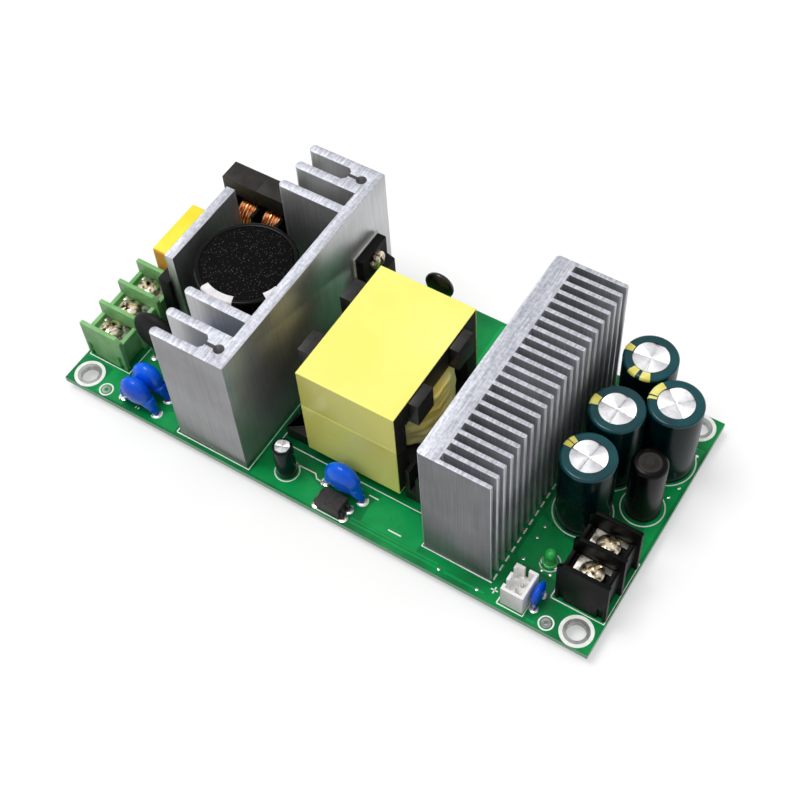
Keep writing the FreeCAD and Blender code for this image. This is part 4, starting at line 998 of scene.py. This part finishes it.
mounting = [on_board(x, y) for x in (HOLES_X, board_long - HOLES_X)
            for y in (HOLES_Y, board_wide - HOLES_Y)]
testing = [on_board(x, 2.3) for x in (11.5, board_long - 11.5)]
for name, spots, metal, ink, steps in (
        ("mounting", mounting, eyelet(2.3, 3.05), flat_ring(3.1, 3.98), 64),
        ("test", testing, eyelet(0.6, 1.2), flat_ring(1.5, 1.88), 32)):
    set_on_points(name + "_eyelets", turned("eyelet", metal, ORIGIN, steps), spots,
                  "tinned_eyelet", "tinned_metal")
    set_on_points(name + "_ink_rings", turned("ring", ink, ORIGIN, steps), spots,
                  "screen_ink", "board_laminate")

# %% [markdown]
# ## Ink outlines
# White outlines show where each part goes. They are the strips of one tree, along lines given
# in board millimetres. Lettering is left out: the board stays plain.

# %% Outline paths
INK_LIFT = 0.012


def rectangle(x0, y0, x1, y1):
    return [(x0, y0), (x1, y0), (x1, y1), (x0, y1)]


def straight(*spots):
    return [on_board(x, y, INK_LIFT) for x, y in spots]


def outline_box(*sides):
    return straight(*rectangle(*sides), sides[:2])


def outline_arc(x, y, radius, start=0, stop=360, steps=48):
    turns = [math.radians(start + (stop - start) * i / steps) for i in range(steps + 1)]
    return [on_board(x + radius * math.cos(t), y + radius * math.sin(t), INK_LIFT) for t in turns]


def round_node(node, spare, *limits):
    spot = (middle(node) - BOARD_LOW) / MM
    return outline_arc(spot.x, spot.y, half_width(node) + spare, *limits)


paths = [
    outline_box(0.8, 9.0, 13.5, 34.1),
    outline_box(134.3, 8.4, 147.6, 25.8),
    outline_box(124.6, 1.0, 131.2, 9.4),
    outline_box(34.6, 1.2, 56.2, 67.8),
    outline_box(58.2, 12.0, 98.2, 47.4),
    outline_box(75.4, 0.5, 83.4, 5.3),
    straight((65.3, 8.4), (70.7, 8.5), (71.8, 7.4), (73.4, 7.3)),
    straight((102.7, 66.5), (102.7, 4.8), (121.2, 4.8)),
    straight((85.0, 10.0), (87.6, 10.0)),
    straight((93.8, 4.4), (97.3, 4.4)),
    straight((21.3, 1.5), (21.3, 2.1)),
    straight((22.1, 1.5), (22.1, 2.1)),
    straight((121.8, 3.5), (123.6, 3.5)),
    straight((122.7, 2.6), (122.7, 4.4)),
    round_node("control_capacitor", 0.5),
    round_node("inrush_thermistor", 0.2, 20, 160),
    round_node("rod_inductor_tube", 0.9),
    round_node("indicator_lamp", 0.5, -150, 150),
    round_node("bulk_capacitor", 0.6),
]
paths += [round_node("output_capacitor_" + letter, 0.6) for letter in OUTPUT_CANS]
strips("ink_outlines", paths, 0.32)

# %% Dashed line beside the fins
DASH, DASH_PITCH, DASH_COUNT = 1.7, 2.75, 22
DASH_X, DASH_Y = 121.2, 5.6
dashes = [straight((DASH_X, DASH_Y + DASH_PITCH * i), (DASH_X, DASH_Y + DASH_PITCH * i + DASH))
          for i in range(DASH_COUNT)]
strips("ink_dashes", dashes, 0.42)

# %% Ink arcs round the feet of the blue capacitors
LEG_OUT, FOOT_RADIUS = 5.0, 1.35
feet = []
for node in SAFETY_RADIUS:
    spot = (middle(node) - BOARD_LOW) / MM
    for side in (-1, 1):
        face = 180 if side < 0 else 0
        feet.append(outline_arc(spot.x + LEG_OUT * side, spot.y, FOOT_RADIUS, face - 130,
                                face + 60, 20))
strips("ink_feet", feet, 0.4)

# %% [markdown]
# ## Copper under the mask
# Broad areas of copper carry the current. Under the mask they stand a few hundredths of a
# millimetre high and look brighter. Each is a thin plate from a few corners.

# %% Copper areas
AREA_THICK, TRACK_THICK = 0.02, 0.05


def plates(name, outlines, z0, z1, material, slot):
    work = bmesh.new()
    for outline in outlines:
        low = [work.verts.new(on_board(x, y, z0)) for x, y in outline]
        high = [work.verts.new(on_board(x, y, z1)) for x, y in outline]
        work.faces.new(high)
        work.faces.new(list(reversed(low)))
        for i in range(len(outline)):
            k = (i + 1) % len(outline)
            work.faces.new((low[i], low[k], high[k], high[i]))
    bmesh.ops.recalc_face_normals(work, faces=work.faces)
    return finish(name, baked(work, name), material, slot)


TOP_COPPER = [
    [(9.2, 0.6), (17.8, 0.6), (14.8, 8.6), (0.6, 8.6), (0.6, 8.2), (9.2, 8.2)],
    [(26.0, 0.6), (34.0, 0.6), (34.0, 7.0), (29.5, 5.0)],
    [(57.0, 0.6), (74.6, 0.6), (74.6, 5.6), (69.0, 7.8), (57.0, 11.6)],
    [(87.0, 3.0), (102.3, 3.0), (102.3, 11.4), (88.0, 11.4), (86.6, 8.0)],
    [(122.4, 14.5), (124.4, 12.6), (133.6, 12.6), (133.6, 22.6), (122.4, 26.0)],
    [(122.4, 28.0), (126.0, 24.6), (134.6, 26.8), (134.6, 34.0), (122.4, 34.0)],
    [(145.0, 26.6), (147.2, 26.6), (147.2, 60.5), (143.4, 60.5), (143.4, 45.0)],
    [(99.0, 48.5), (102.2, 48.5), (102.2, 69.0), (87.0, 69.0), (87.0, 55.0)],
    [(57.0, 50.0), (64.5, 50.0), (64.5, 69.0), (57.0, 69.0)],
]
plates("top_copper", TOP_COPPER, 0.0, AREA_THICK, "mask_over_copper", "board_laminate")
TRACKS = [
    straight((84.7, 1.7), (109.2, 1.7)),
    straight((84.7, 2.6), (108.4, 2.6)),
    straight((60.0, 1.6), (75.0, 1.6)),
    straight((110.5, 1.6), (121.0, 1.6)),
    straight((132.2, 1.0), (134.2, 1.0)),
]
strips("top_tracks", TRACKS, 0.55, TRACK_THICK, "mask_over_copper")
UNDER_COPPER = [
    rectangle(2.0, 9.5, 13.0, 20.0),
    [(2.0, 21.5), (16.0, 21.5), (16.0, 60.0), (6.0, 60.0), (2.0, 52.0)],
    rectangle(18.0, 12.0, 33.0, 24.0),
    rectangle(22.0, 27.0, 46.0, 44.0),
    rectangle(60.0, 14.0, 66.0, 24.0),
    rectangle(93.0, 14.0, 108.0, 30.0),
    rectangle(93.0, 32.0, 112.0, 48.0),
    rectangle(116.0, 12.0, 134.0, 66.0),
    rectangle(135.5, 12.0, 146.5, 58.0),
]
plates("under_copper", UNDER_COPPER, -board_thick - AREA_THICK, -board_thick,
       "mask_over_copper", "board_laminate")
VIAS = [(124.6, 23.6), (124.4, 20.2), (124.4, 13.8), (129.4, 13.4), (131.6, 13.3),
        (146.2, 58.3), (146.4, 48.3), (146.0, 55.0), (145.4, 44.9), (119.2, 1.7), (109.2, 1.7)]
via_mesh = turned("via", [(0, 0), (0.4, 0), (0.4, 0.04), (0.25, 0.09), (0, 0.11)], ORIGIN, 16)
set_on_points("vias", via_mesh, [on_board(x, y) for x, y in VIAS], "tin_solder", "tinned_metal")

# %% [markdown]
# ## Screws
# A pan head with a cross recess is turned, and the cross is cut out of it with two thin
# blades. The same head is then set on each terminal screw and on the transistor screws.

# %% Screw head with a cross recess


def screw_head(name, radius, tall, reach, slot_wide=0.75, shaft=1.5, hidden=3.0):
    outline = [(0, -hidden), (shaft, -hidden), (shaft, 0), (radius, 0), (radius, tall * 0.35)]
    outline += [(radius * math.cos(t), tall * 0.35 + tall * 0.65 * math.sin(t))
                for t in [math.pi / 2 * i / 8 for i in range(1, 8)]] + [(0, tall)]
    head = in_scene(name, turned(name, outline, ORIGIN, 40))
    cutter = bmesh.new()
    for along, wide in ((reach, slot_wide), (slot_wide, reach)):
        block = bmesh.ops.create_cube(cutter, size=1.0)
        bmesh.ops.scale(cutter, vec=Vector((along * 2, wide, tall * 1.2)) * MM,
                        verts=block["verts"])
        bmesh.ops.translate(cutter, vec=Vector((0, 0, tall * 0.95)) * MM, verts=block["verts"])
    blade = in_scene(name + "_cutter", baked(cutter, name + "_cutter"))
    cut = head.modifiers.new("cross", "BOOLEAN")
    cut.object = blade
    cut.solver = "EXACT"
    cut.use_self = True
    mesh = evaluated(head)
    bpy.data.objects.remove(blade)
    return smooth_sides(mesh, 30)


# %% Terminal screws
CLAMP_HEAD = 5.7


def screw_spots(node, count):
    low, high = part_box(node)
    radius = CLAMP_HEAD / 2 * MM
    pitch = (high.y - low.y - 2 * radius) / (count - 1)
    x = (low.x + high.x) / 2
    return [Vector((x, low.y + radius + pitch * i, high.z)) for i in range(count)]


HEAD_TALL = 1.9
for node, count in (("input_terminal_screws", 3), ("output_terminal_screws", 2)):
    spots = [s - Vector((0, 0, HEAD_TALL * MM)) for s in screw_spots(node, count)]
    set_on_points(node + "_finished", screw_head(node, CLAMP_HEAD / 2, HEAD_TALL, 2.5), spots,
                  "plated_steel", "screw_steel", 1.5, node)

# %% Heatsink screws along X


def sideways(mesh, side):
    mesh.transform(Matrix.Rotation(math.radians(90 * side), 4, "Y"))
    return mesh


DEVICE_HEAD = 2.5
low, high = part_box("transistor_screw")
spot = Vector((high.x - HEAD_TALL * MM, (low.y + high.y) / 2, (low.z + high.z) / 2))
set_on_points("transistor_screw_finished",
              sideways(screw_head("t_screw", DEVICE_HEAD, HEAD_TALL, 1.7), 1), [spot],
              "plated_steel", "screw_steel", 0.0, "transistor_screw")
low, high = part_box("rectifier_screws")
spots = [Vector((low.x + HEAD_TALL * MM, y, (low.z + high.z) / 2))
         for y in (low.y + DEVICE_HEAD * MM, high.y - DEVICE_HEAD * MM)]
set_on_points("rectifier_screws_finished",
              sideways(screw_head("r_screw", DEVICE_HEAD, HEAD_TALL, 1.7), -1), spots,
              "plated_steel", "screw_steel", 0.0, "rectifier_screws")

# %% [markdown]
# ## Choke windings
# Two coils of thick enamelled wire sit on the black bobbin, wound in two layers. A spiral that
# keeps its radius is a helix, and a circle swept along it is the wire. It is wound about Z
# in the tree and laid along X before it is placed.

# %% Tree: a helix of wire
coil_tree, coil_in = new_tree("wire_coil", {"Turns": 6.0, "Radius": 0.005, "Length": 0.006,
                                            "Wire": 0.00085})
helix = add(coil_tree, "GeometryNodeCurveSpiral",
            {"Resolution": 40, "Rotations": coil_in["Turns"], "Start Radius": coil_in["Radius"],
             "End Radius": coil_in["Radius"], "Height": coil_in["Length"]})
coil_solid = swept_round(coil_tree, helix.outputs["Curve"], coil_in["Wire"], 10)
coil_laid = add(coil_tree, "GeometryNodeTransform", {"Geometry": coil_solid,
                                                     "Rotation": (0, math.pi / 2, 0)})
close_tree(coil_tree, coil_laid.outputs["Geometry"], coil_in["Material"])

# %% Wind both coils
WIRE = 0.95
for node in ("choke_winding_left", "choke_winding_right"):
    low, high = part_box(node)
    centre = (low + high) / 2
    outer = (high.z - low.z) / 2 - WIRE / 2 * MM
    for number, radius in enumerate((outer, outer - WIRE * 0.9 * MM)):
        turns = 6.0 - number
        length = (high.x - low.x) - WIRE * MM * (1.05 + number)
        made = run_tree(coil_tree, "%s_layer_%d" % (node, number), points_mesh("seed", [centre]),
                        "enamelled_copper", "copper_wire",
                        {"Turns": turns, "Radius": radius, "Length": length, "Wire": WIRE * MM})
        made.data.transform(Matrix.Translation(centre - Vector((length / 2, 0, 0))))
    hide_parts(node)

# %% [markdown]
# ## The transformer's tape and winding
# Yellow polyester tape is wound round the ferrite in one smooth band, with the free end pressed
# down on the front. The wound bobbin inside is wrapped in the same tape, which creases as it
# goes round the ends. The band is a softened copy of its node, and the wrapped winding is
# remeshed, then creased with noise that is stretched round it.

# %% Tape band
soften("transformer_tape", "polyester_tape", 0.5, 3)
low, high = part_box("transformer_tape")
TAPE_END = 0.05
lap = bmesh.new()
lap_top = low.z + (high.z - low.z) * 0.58
for z in (low.z + 0.6 * MM, lap_top):
    for x in (low.x + 0.05 * MM, high.x - 0.05 * MM):
        for y in (low.y - TAPE_END * MM, low.y + 0.02 * MM):
            lap.verts.new((x, y, z))
bmesh.ops.convex_hull(lap, input=lap.verts)
finish("transformer_tape_end", baked(lap, "tape_end"), "polyester_tape", "yellow_tape")

# %% Wrapped winding
CORE_CLEAR, BULGE_HALF = 9.5, 8.5
piece = in_scene("winding_raw", merged_copy("transformer_winding"))
skin_over(piece, 0.35)
winding = evaluated(piece)
wind_mid = middle("transformer_winding")
for vert in winding.vertices:
    out = Vector((vert.co.x - wind_mid.x, vert.co.y - wind_mid.y, 0))
    if out.length > CORE_CLEAR * MM:
        turn = math.atan2(out.y, out.x)
        crease = noise.noise(Vector((turn * 2.2, vert.co.z / MM * 0.55, 1.7)))
        fold = noise.noise(Vector((turn * 5.0, vert.co.z / MM * 0.9, 8.1)))
        bulge = 1 - abs(vert.co.z - wind_mid.z) / (BULGE_HALF * MM)
        vert.co += out.normalized() * (crease * 0.7 + fold * 0.3 + bulge * 0.7 - 0.3) * MM
winding.shade_smooth()
finish("transformer_winding_wrapped", winding, "winding_tape", "yellow_tape", "transformer_winding")

# %% [markdown]
# ## Floor and light
# A pale floor, one broad soft sun from above the left, and a plain world, brighter overhead.
# Their levels add up to about one on a level face, so colours keep their own value. The floor
# looks white to the camera and in reflections, but throws back less light from below. Far out
# it rises gently, like a photographer's cove, so that a low view still ends in white.

# %% Floor
floor_mesh = bpy.data.meshes.new("floor")
COVE = ((1.0, 0.0), (2.0, 0.08), (3.0, 0.26), (4.0, 0.52), (5.0, 0.84))
COVE_STEPS = 48
FLOOR_GAP, FLOOR_GLOW = 0.0002, 0.42
floor_z = cad_box[0].z - FLOOR_GAP
spots = [(reach * math.cos(math.tau * j / COVE_STEPS), reach * math.sin(math.tau * j / COVE_STEPS),
          floor_z + rise) for reach, rise in COVE for j in range(COVE_STEPS)]
panels = [tuple(range(COVE_STEPS))]
for i in range(len(COVE) - 1):
    for j in range(COVE_STEPS):
        a, b = i * COVE_STEPS + j, i * COVE_STEPS + (j + 1) % COVE_STEPS
        panels.append((a, a + COVE_STEPS, b + COVE_STEPS, b))
floor_mesh.from_pydata(spots, [], panels)
floor_mesh.shade_smooth()
floor = in_scene("floor", floor_mesh)
floor_paint, floor_tree, floor_shader = surface("pale_floor", "ffffff", 0.9, Specular_IOR_Level=0.0)
ray = add(floor_tree, "ShaderNodeLightPath").outputs
seen = add(floor_tree, "ShaderNodeMath", {0: ray["Is Camera Ray"], 1: ray["Is Glossy Ray"]},
           operation="MAXIMUM").outputs[0]
seen = add(floor_tree, "ShaderNodeMath", {0: seen, 1: ray["Is Transmission Ray"]},
           operation="MAXIMUM").outputs[0]
paint(floor_tree, floor_shader, add(floor_tree, "ShaderNodeMix",
                                    {"Factor": seen, "A": linear("6c6c6c"), "B": linear("cbcbcb")},
                                    data_type="RGBA").outputs["Result"])
floor_shader.inputs["Emission Color"].default_value = linear("ffffff")
glow = add(floor_tree, "ShaderNodeMath", {0: seen, 1: FLOOR_GLOW},
           operation="MULTIPLY").outputs[0]
floor_tree.links.new(glow, floor_shader.inputs["Emission Strength"])
floor_mesh.materials.append(floor_paint)

# %% Sun and world
sun_data = bpy.data.lights.new("soft_sun", "SUN")
sun_data.angle = 0.5
sun_data.energy = 1.4
sun = in_scene("soft_sun", sun_data)
SUN_FROM = Vector((-0.36, -0.1, 1.0))
sun.rotation_euler = (-SUN_FROM).to_track_quat("-Z", "Y").to_euler()
world = bpy.data.worlds.new("studio")
bpy.context.scene.world = world
world.use_nodes = True
background = world.node_tree.nodes["Background"]
background.inputs["Color"].default_value = (1, 1, 1, 1)
sky = world.node_tree
direction = add(sky, "ShaderNodeTexCoord").outputs["Generated"]
sky_up = add(sky, "ShaderNodeSeparateXYZ", {"Vector": direction}).outputs["Z"]
level = add(sky, "ShaderNodeMapRange", {"Value": sky_up, "To Min": 0.35, "To Max": 0.82})
sky.links.new(level.outputs["Result"], background.inputs["Strength"])
